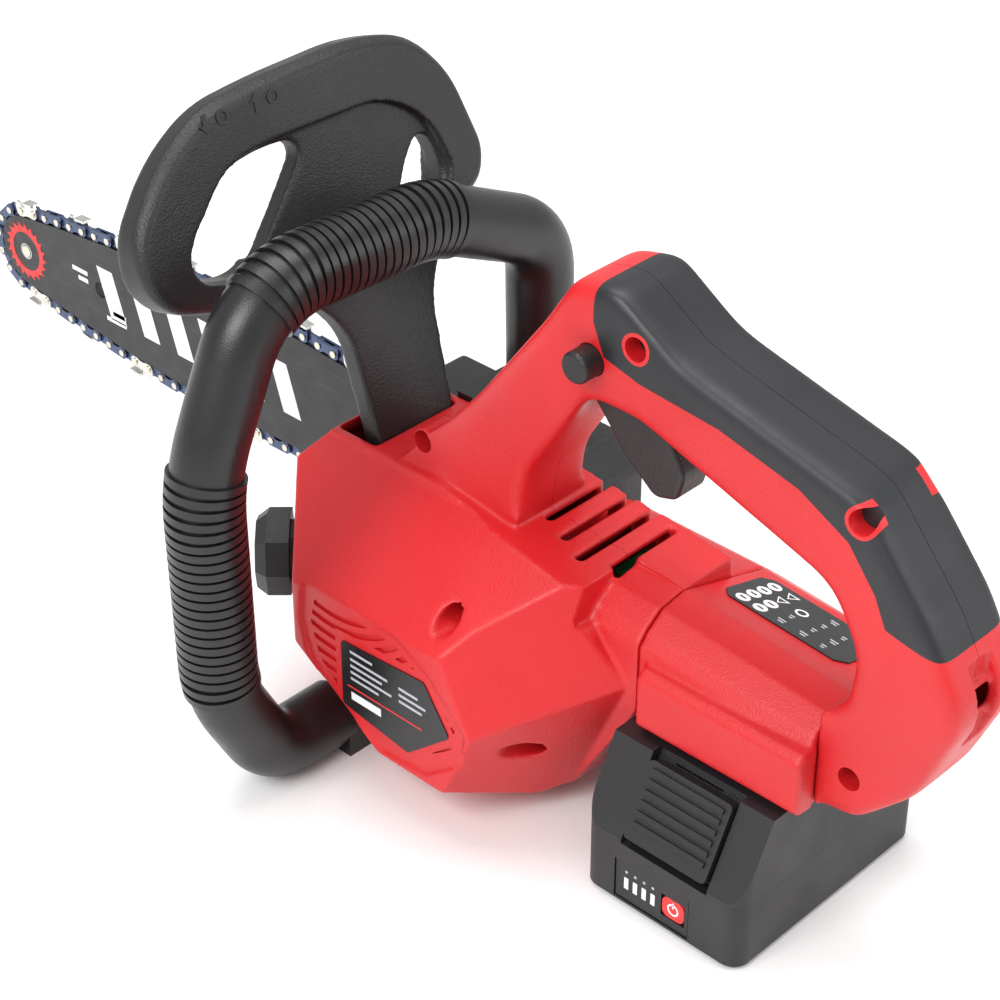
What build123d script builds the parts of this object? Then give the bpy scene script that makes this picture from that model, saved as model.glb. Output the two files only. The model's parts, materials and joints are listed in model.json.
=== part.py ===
from build123d import *
import math
import os

# Cordless rear-handle chainsaw: 18 V slide-in battery, 10 inch bar, 3/8 low-profile chain.
# Frame: X forward along the bar, Y to the operator's left, Z up. X = 0 near the drive sprocket,
# Y = 0 on the joint between the two housing halves, Z = 0 on the ground.

# ---------- driving dimensions (mm, degrees) ----------
WALL = 3.0                 # moulded housing wall
SPLIT_GAP = 0.1            # half of the visible seam between neighbouring mouldings

CHAIN_PITCH = 9.32         # 3/8 inch low-profile: distance between neighbouring rivets
CHAIN_RIVETS = 80
DRIVE_GAUGE = 1.3          # drive link thickness
STRAP_T = 1.1
RIVET_R = 1.6
STRAP_LOW = 2.6            # rivet line down to the rail
STRAP_HIGH = 2.9
RAIL_GAP = 0.35            # slack of the links above the rails
TANG_DEPTH = 6.6
RIVET_CLEARANCE = 0.06

BAR_Y = -33.0              # bar mid-plane
BAR_Z = 74.0               # bar axis height
BAR_T = 3.8
NOSE_X = 308.4
NOSE_PITCH_R = 20.6
RAIL_R = 1000.0
SPROCKET_PITCH_R = CHAIN_PITCH / math.sin(math.pi / 12) / 2
GROOVE_DEPTH = 4.8
GROOVE_W = 1.7

GEAR_MODULE = 1.0
PINION_TEETH = 11
GEAR_TEETH = 56
GEAR_Y = -12.0             # mid-plane of the gear pair
GEAR_W = 8.0

BODY_LEFT = 24.0           # left wall of the main body
HANDLE_HALF = 19.0         # half width of the rear handle
PANEL_Y = 70.0             # outer face of the motor dome
TUBE_R = 13.5              # front handle tube
RIB_R = 14.8
HANDLE_X = 7.0             # plane of the front handle

GUARD_LEAN = 0.3           # forward travel of the guard per unit of height
GUARD_FOOT_X = -13.0       # where the guard plane would meet the ground
GUARD_T = 9.0
GUARD_RIM_T = 17.0

BATTERY_X0, BATTERY_X1 = -193.0, -120.0
BATTERY_Y0, BATTERY_Y1 = -56.0, 50.0
BATTERY_SEAM_Z = 29.0
BATTERY_TOP = 62.0
CELL_R, CELL_L = 9.0, 64.0

os.makedirs("parts", exist_ok=True)


# ---------- helpers ----------
def save(builder, label):
    """Label a finished piece and write it to its own file."""
    builder.part.label = label
    export_step(builder.part, f"parts/{label}.step")


def side_plane(y):
    """Plane parallel to XZ at height y: local x is X, local y is Z, normal is +Y."""
    return Plane(origin=(0, y, 0), x_dir=(-1, 0, 0), z_dir=(0, 1, 0))


def side_points(points):
    """Turn (X, Z) points into the local coordinates of side_plane."""
    return [(-x, z) for x, z in points]


def side_slab(points, y0, y1, mode=Mode.ADD, radius=0.0, inset=0.0):
    """Extrude an (X, Z) outline from y0 to y1 inside the current part."""
    with BuildSketch(side_plane(y0)) as outline:
        with BuildLine():
            Polyline(*side_points(points), close=True)
        make_face()
        if radius:
            fillet(outline.vertices(), radius)
        if inset:
            offset(amount=-inset, mode=Mode.REPLACE)
    extrude(outline.sketch, amount=y1 - y0, mode=mode)


def side_cylinder(x, z, y0, y1, radius, mode=Mode.ADD):
    """Cylinder along Y from y0 to y1."""
    with BuildSketch(side_plane(y0)) as disc:
        with Locations((-x, z)):
            Circle(radius)
    extrude(disc.sketch, amount=y1 - y0, mode=mode)


def upright(x, y, z0, z1, radius, mode=Mode.ADD):
    """Cylinder along Z from z0 to z1."""
    with BuildSketch(Plane.XY.offset(z0)) as disc:
        with Locations((x, y)):
            Circle(radius)
    extrude(disc.sketch, amount=z1 - z0, mode=mode)


def along_rod(x0, x1, y, z, radius, mode=Mode.ADD):
    """Cylinder along X from x0 to x1."""
    with BuildSketch(Plane(origin=(x0, y, z), x_dir=(0, 1, 0), z_dir=(1, 0, 0))) as disc:
        Circle(radius)
    extrude(disc.sketch, amount=x1 - x0, mode=mode)


def block(x0, x1, y0, y1, z0, z1, mode=Mode.ADD):
    """Axis-aligned block between two corners."""
    with Locations(((x0 + x1) / 2, (y0 + y1) / 2, (z0 + z1) / 2)):
        Box(x1 - x0, y1 - y0, z1 - z0, mode=mode)


# ---------- chain path: two end circles joined by long barrel-shaped rails ----------
def rail_centre(sprocket_x):
    """Centre of the upper rail's pitch arc, tangent inside both end circles."""
    span = NOSE_X - sprocket_x
    step = NOSE_PITCH_R - SPROCKET_PITCH_R
    along = (span**2 + step * (2 * RAIL_R - NOSE_PITCH_R - SPROCKET_PITCH_R)) / (2 * span)
    drop = math.sqrt((RAIL_R - SPROCKET_PITCH_R) ** 2 - along**2)
    return sprocket_x + along, -drop


def path_arcs(sprocket_x):
    """Arcs (centre x, centre z, radius, start angle, sweep) round the loop, clockwise from the tail."""
    cx, cz = rail_centre(sprocket_x)
    tail = math.atan2(-cz, sprocket_x - cx)
    nose = math.atan2(-cz, NOSE_X - cx)
    return [
        (cx, cz, RAIL_R, tail, tail - nose),
        (NOSE_X, 0.0, NOSE_PITCH_R, nose, 2 * nose),
        (cx, -cz, RAIL_R, -nose, tail - nose),
        (sprocket_x, 0.0, SPROCKET_PITCH_R, -tail, 2 * (math.pi - tail)),
    ]


def path_point(arcs, distance):
    """Point on the loop a given distance from the start of the upper rail."""
    total = sum(radius * sweep for _, _, radius, _, sweep in arcs)
    left = distance % total
    for cx, cz, radius, start, sweep in arcs:
        if left <= radius * sweep:
            angle = start - left / radius
            return cx + radius * math.cos(angle), cz + radius * math.sin(angle)
        left -= radius * sweep
    return path_point(arcs, 0.0)


def walk_chain(sprocket_x):
    """Rivet distances along the loop, each pair exactly one pitch apart, and the closing error."""
    arcs = path_arcs(sprocket_x)
    distances = [0.0]
    for _ in range(CHAIN_RIVETS):
        here = path_point(arcs, distances[-1])
        low, high = CHAIN_PITCH, CHAIN_PITCH * 1.1
        for _ in range(40):
            middle = (low + high) / 2
            there = path_point(arcs, distances[-1] + middle)
            if math.dist(here, there) < CHAIN_PITCH:
                low = middle
            else:
                high = middle
        distances.append(distances[-1] + low)
    total = sum(radius * sweep for _, _, radius, _, sweep in arcs)
    return distances[:-1], total - distances[-1]


def solve_sprocket_x():
    """Sprocket position at which the whole chain closes exactly round the bar."""
    low, high = -20.0, 20.0
    for _ in range(40):
        middle = (low + high) / 2
        if walk_chain(middle)[1] > 0:
            low = middle
        else:
            high = middle
    return (low + high) / 2


SPROCKET_X = solve_sprocket_x()
ARCS = path_arcs(SPROCKET_X)
RIVETS = [path_point(ARCS, s) for s in walk_chain(SPROCKET_X)[0]]
CHORDS = [(RIVETS[i], RIVETS[(i + 1) % CHAIN_RIVETS]) for i in range(CHAIN_RIVETS)]


def chord_plane(chord, y):
    """Plane at height y whose local x runs from one rivet to the next and local y points outward."""
    (x0, z0), (x1, z1) = chord
    heading = ((x1 - x0) / CHAIN_PITCH, 0, (z1 - z0) / CHAIN_PITCH)
    return Plane(origin=(x0, y, BAR_Z + z0), x_dir=heading, z_dir=(0, -1, 0))


def link_profile(points):
    """Closed outline with two rivet holes."""
    with BuildLine() as outline:
        Polyline(*points, close=True)
    make_face(outline.edges())
    with Locations((0, 0), (CHAIN_PITCH, 0)):
        Circle(RIVET_R + RIVET_CLEARANCE, mode=Mode.SUBTRACT)


END = 2.7                  # link end beyond its rivet
STRAP = [
    (-END, -1.2), (-1.2, -STRAP_LOW), (1.6, -STRAP_LOW), (3.2, -1.5), (CHAIN_PITCH - 3.2, -1.5),
    (CHAIN_PITCH - 1.6, -STRAP_LOW), (CHAIN_PITCH + 1.2, -STRAP_LOW), (CHAIN_PITCH + END, -1.2),
    (CHAIN_PITCH + END, 1.4), (CHAIN_PITCH + 1.3, STRAP_HIGH), (-1.3, STRAP_HIGH), (-END, 1.4),
]
DRIVE = [
    (-END, -1.3), (-1.2, -2.8), (0.6, -2.9), (2.6, -TANG_DEPTH), (CHAIN_PITCH - 3.6, -TANG_DEPTH),
    (CHAIN_PITCH - 1.6, -3.0), (CHAIN_PITCH + 1.2, -2.7), (CHAIN_PITCH + END, -1.3),
    (CHAIN_PITCH + END, 1.3), (CHAIN_PITCH + 1.2, 2.7), (-1.2, 2.7), (-END, 1.3),
]
# Cutter side plate: depth gauge in front (travel is toward +x on the upper rail), gullet, cutting tooth.
CUTTER = [
    (-END, -1.2), (-1.2, -STRAP_LOW), (1.6, -STRAP_LOW), (3.2, -2.0), (CHAIN_PITCH - 3.2, -2.0),
    (CHAIN_PITCH - 1.6, -STRAP_LOW), (CHAIN_PITCH + 1.2, -STRAP_LOW), (CHAIN_PITCH + END, -1.2),
    (CHAIN_PITCH + END + 0.6, 2.6), (CHAIN_PITCH + 1.8, 5.0), (CHAIN_PITCH - 0.6, 4.4),
    (CHAIN_PITCH - 1.9, 2.2), (CHAIN_PITCH - 3.6, 2.2), (CHAIN_PITCH - 4.3, 5.4), (-2.0, 5.0), (-END, 2.6),
]


# ---------- bar and chain ----------
def bar_outline():
    """Bar outline: pitch path moved in to the rails, with a rounded tail in front of the sprocket."""
    cx, cz = rail_centre(SPROCKET_X)
    rail = RAIL_R - STRAP_LOW - RAIL_GAP
    nose_r = NOSE_PITCH_R - STRAP_LOW - RAIL_GAP
    nose = math.atan2(-cz, NOSE_X - cx)
    tail_x, tail_half = SPROCKET_X + 22.0, 15.0
    apex = rail + cz
    shoulder_x = SPROCKET_X + 50.0
    shoulder = math.sqrt(rail**2 - (shoulder_x - cx) ** 2) + cz
    top_nose = (NOSE_X + nose_r * math.cos(nose), nose_r * math.sin(nose))
    with BuildLine() as outline:
        ThreePointArc((shoulder_x, shoulder), (cx, apex), top_nose)
        ThreePointArc(top_nose, (NOSE_X + nose_r, 0), (top_nose[0], -top_nose[1]))
        ThreePointArc((top_nose[0], -top_nose[1]), (cx, -apex), (shoulder_x, -shoulder))
        Line((shoulder_x, -shoulder), (tail_x, -tail_half))
        Line((tail_x, -tail_half), (tail_x, tail_half))
        Line((tail_x, tail_half), (shoulder_x, shoulder))
    make_face(outline.edges())


def bar_plane(y):
    """Plane on the bar axis with local x forward and local y up, normal toward -Y."""
    return Plane(origin=(0, y, BAR_Z), x_dir=(1, 0, 0), z_dir=(0, -1, 0))


STUD_X = SPROCKET_X + 38.0
STUD_R = 4.0
PIN_X, PIN_Z = SPROCKET_X + 44.0, -10.0
TENSION_R = 2.4

with BuildPart() as guide_bar:
    with BuildSketch(bar_plane(BAR_Y + BAR_T / 2)):
        bar_outline()
    extrude(amount=BAR_T)
    with BuildSketch(bar_plane(BAR_Y + GROOVE_W / 2)):
        bar_outline()
        with BuildSketch(bar_plane(BAR_Y + GROOVE_W / 2), mode=Mode.PRIVATE) as core:
            bar_outline()
            offset(amount=-GROOVE_DEPTH, mode=Mode.REPLACE)
        add(core.sketch_local, mode=Mode.SUBTRACT)
        with Locations((NOSE_X, 0)):
            Circle(NOSE_PITCH_R - TANG_DEPTH + 0.2)
    extrude(amount=GROOVE_W, mode=Mode.SUBTRACT)
    with BuildSketch(bar_plane(BAR_Y + BAR_T)):
        with Locations((STUD_X, 0)):
            SlotCenterToCenter(10, 2 * STUD_R + 0.4)
        with Locations((PIN_X, -PIN_Z), (PIN_X, PIN_Z)):
            Circle(TENSION_R + 0.3)
        with Locations((NOSE_X, 0)):
            Circle(3.0)
        with Locations((NOSE_X - 55.4, 0)):
            Circle(4.0)
    extrude(amount=2 * BAR_T, mode=Mode.SUBTRACT)
save(guide_bar, "guide_bar")

with BuildPart() as chain_drive_links:
    for chord in CHORDS[0::2]:
        with BuildSketch(chord_plane(chord, BAR_Y + DRIVE_GAUGE / 2)):
            link_profile(DRIVE)
        extrude(amount=DRIVE_GAUGE)
save(chain_drive_links, "chain_drive_links")

SIDE_GAP = 0.06
SIDES = {"left": BAR_Y + DRIVE_GAUGE / 2 + SIDE_GAP + STRAP_T, "right": BAR_Y - DRIVE_GAUGE / 2 - SIDE_GAP}
SIDE_CHORDS = CHORDS[1::2]
CUTTERS = {"left": SIDE_CHORDS[0::4], "right": SIDE_CHORDS[2::4]}
STRAP_PAIRS = SIDE_CHORDS[1::2]

with BuildPart() as chain_tie_straps:
    for side, y_top in SIDES.items():
        plain = STRAP_PAIRS + CUTTERS["right" if side == "left" else "left"]
        for chord in plain:
            with BuildSketch(chord_plane(chord, y_top)):
                link_profile(STRAP)
            extrude(amount=STRAP_T)
save(chain_tie_straps, "chain_tie_straps")


def cutter_node(side):
    """All cutters of one hand: side plate plus the top plate that folds over the chain."""
    y_top = SIDES[side]
    y_plate = BAR_Y + (3.3 if side == "left" else 1.5)
    with BuildPart() as cutters:
        for chord in CUTTERS[side]:
            with BuildSketch(chord_plane(chord, y_top)):
                link_profile(CUTTER)
            extrude(amount=STRAP_T)
            with BuildSketch(chord_plane(chord, y_plate)):
                with BuildLine():
                    Polyline((-2.0, 5.0), (-2.0, 4.0), (4.6, 4.2), (5.0, 5.4), close=True)
                make_face()
            extrude(amount=4.8)
    return cutters


save(cutter_node("left"), "chain_cutters_left")
save(cutter_node("right"), "chain_cutters_right")

with BuildPart() as chain_rivets:
    head_y = BAR_Y + DRIVE_GAUGE / 2 + SIDE_GAP + STRAP_T
    for x, z in RIVETS:
        with BuildSketch(side_plane(2 * BAR_Y - head_y - 0.5)):
            with Locations((-x, BAR_Z + z)):
                Circle(RIVET_R)
        extrude(amount=2 * (head_y + 0.5 - BAR_Y))
save(chain_rivets, "chain_rivets")

NOSE_TIP_R = NOSE_PITCH_R - TANG_DEPTH - 1.1
with BuildPart() as nose_sprocket:
    side_cylinder(NOSE_X, BAR_Z, BAR_Y - 0.65, BAR_Y + 0.65, NOSE_TIP_R)
    with BuildSketch(side_plane(BAR_Y - 1)):
        with Locations((-NOSE_X, BAR_Z)):
            with PolarLocations(NOSE_TIP_R + 1.2, 10):
                Circle(3.0)
            Circle(3.1)
    extrude(amount=2, mode=Mode.SUBTRACT)
save(nose_sprocket, "nose_sprocket")

with BuildPart() as nose_rivet:
    side_cylinder(NOSE_X, BAR_Z, BAR_Y - BAR_T / 2 - 0.3, BAR_Y + BAR_T / 2 + 0.3, 2.95)
save(nose_rivet, "nose_rivet")


# ---------- drive: motor, gears and sprocket ----------
def gear_outline(teeth, backlash, outer_add=0.95):
    """Involute spur gear outline as one closed polygon round the origin."""
    pitch_r = GEAR_MODULE * teeth / 2
    base_r = pitch_r * math.cos(math.radians(20))
    outer_r = pitch_r + outer_add * GEAR_MODULE
    root_r = pitch_r - 1.25 * GEAR_MODULE
    half = math.pi / teeth / 2 - backlash / (2 * pitch_r)
    inv_pitch = math.tan(math.radians(20)) - math.radians(20)
    start_r = max(base_r, root_r + 0.05)
    flank = []
    for i in range(4):
        radius = start_r + (outer_r - start_r) * i / 3
        pressure = math.acos(min(1.0, base_r / radius))
        flank.append((radius, half + inv_pitch - (math.tan(pressure) - pressure)))
    root_gap = 0.12 / root_r
    points = []
    for tooth in range(teeth):
        centre = 2 * math.pi * tooth / teeth
        profile = [(root_r, -flank[0][1] - root_gap)] + [(r, -a) for r, a in flank]
        profile += [(r, a) for r, a in reversed(flank)] + [(root_r, flank[0][1] + root_gap)]
        points += [(r * math.cos(centre + a), r * math.sin(centre + a)) for r, a in profile]
    return points


def gear_at(points, x, z, y0, y1, turn=0.0):
    """Extrude a gear outline along Y about (x, z), turned by an angle in radians."""
    cos_t, sin_t = math.cos(turn), math.sin(turn)
    moved = [(x + px * cos_t - pz * sin_t, z + px * sin_t + pz * cos_t) for px, pz in points]
    side_slab(moved, y0, y1)


GEAR_CENTRES = GEAR_MODULE * (PINION_TEETH + GEAR_TEETH) / 2
MOTOR_TILT = math.radians(200)           # direction from the sprocket shaft to the motor shaft
MOTOR_X = SPROCKET_X + GEAR_CENTRES * math.cos(MOTOR_TILT)
MOTOR_Z = BAR_Z + GEAR_CENTRES * math.sin(MOTOR_TILT)
SHAFT_R = 5.0
MOTOR_SHAFT_R = 2.5
MOTOR_R = 22.0
MOTOR_Y0, MOTOR_Y1 = 1.0, 58.0
BEARING_Y = [(-24.0, -18.0), (-5.0, 1.0)]

with BuildPart() as output_shaft:
    side_cylinder(SPROCKET_X, BAR_Z, -45.0, 1.5, SHAFT_R)
    side_cylinder(SPROCKET_X, BAR_Z, -29.0, -25.0, 7.0)
save(output_shaft, "output_shaft")

with BuildPart() as output_gear:
    gear_at(gear_outline(GEAR_TEETH, 0.2), SPROCKET_X, BAR_Z, GEAR_Y - GEAR_W / 2, GEAR_Y + GEAR_W / 2,
            MOTOR_TILT)
    side_cylinder(SPROCKET_X, BAR_Z, -20, 0, SHAFT_R, Mode.SUBTRACT)
    with BuildSketch(side_plane(-20)):
        with Locations((-SPROCKET_X, BAR_Z)):
            with PolarLocations(18, 6):
                Circle(5)
    extrude(amount=20, mode=Mode.SUBTRACT)
save(output_gear, "output_gear")

SPROCKET_TIP_R = SPROCKET_PITCH_R - TANG_DEPTH - 1.2
with BuildPart() as drive_sprocket:
    side_cylinder(SPROCKET_X, BAR_Z, BAR_Y - 3.5, BAR_Y + 3.5, SPROCKET_TIP_R)
    with BuildSketch(side_plane(BAR_Y - 4)):
        with Locations((-SPROCKET_X, BAR_Z)):
            with PolarLocations(SPROCKET_TIP_R + 0.6, 6):
                Circle(2.6)
            Circle(SHAFT_R)
    extrude(amount=8, mode=Mode.SUBTRACT)
save(drive_sprocket, "drive_sprocket")

with BuildPart() as sprocket_clip:
    side_cylinder(SPROCKET_X, BAR_Z, -38.2, -37.0, 8.0)
    side_cylinder(SPROCKET_X, BAR_Z, -39.0, -36.0, SHAFT_R, Mode.SUBTRACT)
    block(SPROCKET_X + 2, SPROCKET_X + 9, -39, -36, BAR_Z - 2, BAR_Z + 2, Mode.SUBTRACT)
save(sprocket_clip, "sprocket_clip")

with BuildPart() as spindle_bearings:
    for y0, y1 in BEARING_Y:
        side_cylinder(SPROCKET_X, BAR_Z, y0, y1, 11.0)
        side_cylinder(SPROCKET_X, BAR_Z, y0, y1, SHAFT_R + 0.05, Mode.SUBTRACT)
save(spindle_bearings, "spindle_bearings")

with BuildPart() as gearbox_housing:
    for y0, y1 in BEARING_Y:
        side_cylinder(SPROCKET_X, BAR_Z, y0 + 0.5, y1 - 0.5, 15.0)
        block(SPROCKET_X - 32, SPROCKET_X + 30, y0 + 1.5, y1 - 1.5, BAR_Z - 14, BAR_Z + 14)
        side_cylinder(SPROCKET_X, BAR_Z, y0 - 1, y1 + 1, 11.0, Mode.SUBTRACT)
    block(SPROCKET_X + 38, SPROCKET_X + 42, -22.5, -0.5, BAR_Z - 14, BAR_Z + 14)
    block(SPROCKET_X + 29, SPROCKET_X + 39, -22.5, -19.5, BAR_Z - 14, BAR_Z + 14)
    block(SPROCKET_X + 29, SPROCKET_X + 39, -3.5, -0.5, BAR_Z - 14, BAR_Z + 14)
    side_cylinder(MOTOR_X, MOTOR_Z, -4.5, 1.0, MOTOR_SHAFT_R + 4, Mode.SUBTRACT)
save(gearbox_housing, "gearbox_housing")

with BuildPart() as motor_can:
    side_cylinder(MOTOR_X, MOTOR_Z, MOTOR_Y0, MOTOR_Y1, MOTOR_R)
    side_cylinder(MOTOR_X, MOTOR_Z, MOTOR_Y0 + 2, MOTOR_Y1 - 2, MOTOR_R - 1.5, Mode.SUBTRACT)
    side_cylinder(MOTOR_X, MOTOR_Z, MOTOR_Y0 - 1, MOTOR_Y1 + 1, 5.0, Mode.SUBTRACT)
save(motor_can, "motor_can")

with BuildPart() as motor_bearings:
    for y0 in (MOTOR_Y0, MOTOR_Y1 - 2.0):
        side_cylinder(MOTOR_X, MOTOR_Z, y0, y0 + 2, 5.0)
        side_cylinder(MOTOR_X, MOTOR_Z, y0, y0 + 2, MOTOR_SHAFT_R + 0.05, Mode.SUBTRACT)
save(motor_bearings, "motor_bearings")

with BuildPart() as motor_magnets:
    side_cylinder(MOTOR_X, MOTOR_Z, MOTOR_Y0 + 6, MOTOR_Y1 - 6, MOTOR_R - 1.5)
    side_cylinder(MOTOR_X, MOTOR_Z, MOTOR_Y0 + 5, MOTOR_Y1 - 5, MOTOR_R - 5.0, Mode.SUBTRACT)
    block(MOTOR_X - 3, MOTOR_X + 3, MOTOR_Y0, MOTOR_Y1, MOTOR_Z - 25, MOTOR_Z + 25, Mode.SUBTRACT)
save(motor_magnets, "motor_magnets")

with BuildPart() as motor_rotor:
    side_cylinder(MOTOR_X, MOTOR_Z, -17.0, MOTOR_Y1 + 6, MOTOR_SHAFT_R)
    side_cylinder(MOTOR_X, MOTOR_Z, MOTOR_Y0 + 9, MOTOR_Y1 - 12, MOTOR_R - 6.0)
    with BuildSketch(side_plane(MOTOR_Y0 + 9)):
        with Locations((-MOTOR_X, MOTOR_Z)):
            with PolarLocations(MOTOR_R - 7.0, 8):
                Circle(2.2)
    extrude(amount=MOTOR_Y1 - 21 - MOTOR_Y0, mode=Mode.SUBTRACT)
save(motor_rotor, "motor_rotor")

with BuildPart() as motor_pinion:
    gear_at(gear_outline(PINION_TEETH, 0.2), MOTOR_X, MOTOR_Z, GEAR_Y - GEAR_W / 2, GEAR_Y + GEAR_W / 2,
            MOTOR_TILT + math.pi + math.pi / PINION_TEETH)
    side_cylinder(MOTOR_X, MOTOR_Z, -20, 0, MOTOR_SHAFT_R, Mode.SUBTRACT)
save(motor_pinion, "motor_pinion")

with BuildPart() as cooling_fan:
    side_cylinder(MOTOR_X, MOTOR_Z, MOTOR_Y1 + 1.5, MOTOR_Y1 + 3.0, 19.0)
    side_cylinder(MOTOR_X, MOTOR_Z, MOTOR_Y1 + 1.5, MOTOR_Y1 + 5.5, 5.0)
    for k in range(9):
        blade = Plane(origin=(MOTOR_X, MOTOR_Y1 + 3, MOTOR_Z), x_dir=(
            math.cos(2 * math.pi * k / 9), 0, math.sin(2 * math.pi * k / 9)), z_dir=(0, 1, 0))
        with BuildSketch(blade):
            with Locations((11.5, 0)):
                Rectangle(14, 1.2)
        extrude(amount=2.5)
    side_cylinder(MOTOR_X, MOTOR_Z, MOTOR_Y1, MOTOR_Y1 + 7, MOTOR_SHAFT_R, Mode.SUBTRACT)
save(cooling_fan, "cooling_fan")


# ---------- side outlines of the housings (X, Z) ----------
BODY_RIGHT = -28.0
BODY = [
    (46, 26), (46, 106), (38, 117), (-20, 118), (-50, 113), (-98, 110), (-120.9, 107.5),
    (-120.9, 64.5), (-113, 50), (-92, 15), (-75, 7), (-35, 7), (-12, 15), (30, 15),
]
DOME_BASE = [
    (46, 26), (46, 106), (38, 117), (-20, 118), (-50, 113), (-97, 110), (-97, 98), (-117, 74),
    (-114, 55), (-92, 15), (-75, 7), (-35, 7), (-12, 15), (30, 15),
]
# Outward normals and offsets of the flat facets that shape the motor dome.
FACETS = [
    ((0.72, 0.69, 0.0), 57.0),
    ((0.0, 0.583, 1.0), 128.66),
    ((0.05, 0.80, 1.0), 137.7),
    ((-0.67, 0.66, 0.33), 118.5),
    ((-0.80, 0.49, -0.345), 79.9),
    ((0.0, 0.34, -1.0), 1.2),
    ((0.433, 0.636, -0.639), 16.0),
]
PANEL = [
    (7, 84), (-44, 83), (-60, 74), (-79, 56), (-76, 40), (-58, 26), (-34, 24), (-10, 35), (5, 49), (9, 66),
]
LABEL = [(-13, 66), (-57, 69), (-70, 50), (-48, 31), (-13, 36)]
PANEL_DEPTH = 1.6

HANDLE = [
    (8, 112), (-34, 160), (-66, 203), (-80, 225), (-100, 229), (-128, 211), (-205, 192.5),
    (-236, 156), (-253, 126), (-236, 86), (-214, 64), (-197.5, 64), (-197.5, 103), (-206, 112),
    (-208, 132), (-196, 154), (-112, 181), (-88, 181), (-60, 136), (-56, 109),
]
HANDLE_RADII = [0.5, 40, 30, 9, 8, 40, 22, 50, 22, 30, 8, 0.5, 0.5, 5, 15, 20, 12, 10, 25, 0.5]
GRIP_CUT = [
    (-92, 240), (-92, 214), (-97, 202), (-113, 198), (-148, 195), (-182, 187), (-203, 176),
    (-215, 161), (-220, 150), (-270, 140), (-270, 240),
]
GRIP_SKIN = 2.4
HANDLE_CORE = 5.6
SLOT_X0, SLOT_X1 = 16.5, 37.0
SLOT_Y0, SLOT_Y1 = -24.0, 20.0
SLOT_Z = (88.0, 125.0)
PIVOT_X, PIVOT_Z = 18.6, 105.5
FILLER = (35.1, 46.0, 72.0)
FILLER_DIR = (0.722, 0.692, 0.0)

# Screws that join the two halves: x, z, height of the head's seat above the joint.
SCREWS = [
    (-60, 93, 20.0), (-88, 43, 16.0), (-8, 129, 6.0), (-111, 210.5, 6.0), (-206.5, 185, 6.0),
    (-211.7, 82.8, 6.0),
]
GRIP_SCREWS = SCREWS[3:5]
BOSS_R, RECESS_R, SHANK_R, HEAD_R = 6.5, 4.6, 2.0, 3.8
HANDLE_SCREW_Y = (-12.0, 30.0)   # screws that hold the front handle's foot


def facet_plane(normal, distance):
    """Plane of one facet from its outward normal and offset."""
    size = math.hypot(*normal)
    unit = Vector(*normal) / size
    return Plane(origin=unit * (distance / size), z_dir=unit)


def dome_solid(inset):
    """Faceted motor dome, or its cavity when inset is the wall thickness."""
    with BuildPart() as dome:
        side_slab(DOME_BASE, BODY_LEFT - 4, PANEL_Y - inset, inset=inset)
        for normal, distance in FACETS:
            shifted = distance - inset * math.hypot(*normal)
            split(bisect_by=facet_plane(normal, shifted), keep=Keep.BOTTOM)
    return dome.part


def handle_slab(y0, y1, inset=0.0):
    """D-handle loop extruded along Y."""
    with BuildPart() as loop:
        with BuildSketch(side_plane(y0)) as outline:
            with BuildLine():
                FilletPolyline(*side_points(HANDLE), radius=HANDLE_RADII, close=True)
            make_face()
            if inset:
                offset(amount=-inset, mode=Mode.REPLACE)
        extrude(outline.sketch, amount=y1 - y0)
    return loop.part


def grip_skin(side):
    """Soft grip of one side: the handle's upper band, GRIP_SKIN thick; side is +1 left, -1 right."""
    with BuildPart() as skin:
        add(handle_slab(min(0.0, side * (HANDLE_HALF + 0.6)), max(0.0, side * (HANDLE_HALF + 0.6))))
        side_slab(GRIP_CUT, -30, 30, Mode.INTERSECT)
        core = HANDLE_HALF - GRIP_SKIN
        add(handle_slab(min(-side, side * core), max(-side, side * core), GRIP_SKIN), mode=Mode.SUBTRACT)
        for x, z, _ in GRIP_SCREWS:
            side_cylinder(x, z, -30, 30, BOSS_R + 0.1, Mode.SUBTRACT)
    return skin.part


def barrel_section(x, drop, inset=0.0):
    """Cross-section of the rear barrel in the YZ plane at X = x; the crown is lowered by drop."""
    with BuildSketch(Plane(origin=(x, 0, 0), x_dir=(0, 1, 0), z_dir=(1, 0, 0))) as section:
        with BuildLine():
            Polyline(
                (-55, 62.4), (-57, 70), (-55.5, 86 - drop), (-47, 93 - drop), (0, 107.5 - drop),
                (12, 105.5 - drop), (20, 99.5 - drop), (24, 94.5 - drop), (24, 62.4), close=True)
        make_face()
        if inset:
            offset(amount=-inset, kind=Kind.INTERSECTION, mode=Mode.REPLACE)
    return section.sketch


def barrel(x0, x1, drop0, drop1, inset=0.0):
    """Stretch of the rear barrel between two cross-sections."""
    with BuildPart() as stretch:
        loft([barrel_section(x0, drop0, inset), barrel_section(x1, drop1, inset)], ruled=True)
    return stretch.part


LEFT_GRIP = grip_skin(1)
RIGHT_GRIP = grip_skin(-1)
BARREL_REAR, BARREL_SEAM, BARREL_FRONT = -197.3, -121.1, -53.0
CROWN_DROP = 6.5

with BuildPart() as rear_grip_left:
    add(LEFT_GRIP)
save(rear_grip_left, "rear_grip_left")

with BuildPart() as rear_grip_right:
    add(RIGHT_GRIP)
save(rear_grip_right, "rear_grip_right")


def bosses(y0, y1):
    """Screw bosses between the halves."""
    with BuildPart() as posts:
        for x, z, _ in SCREWS:
            side_cylinder(x, z, y0, y1, BOSS_R)
    return posts.part


TRIGGER_SLOT = (-124.0, -80.0, -9.5, 9.5, 150.0, 190.0)
VENT_COUNT, VENT_PITCH, VENT_W = 4, 12.0, 3.6


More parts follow.
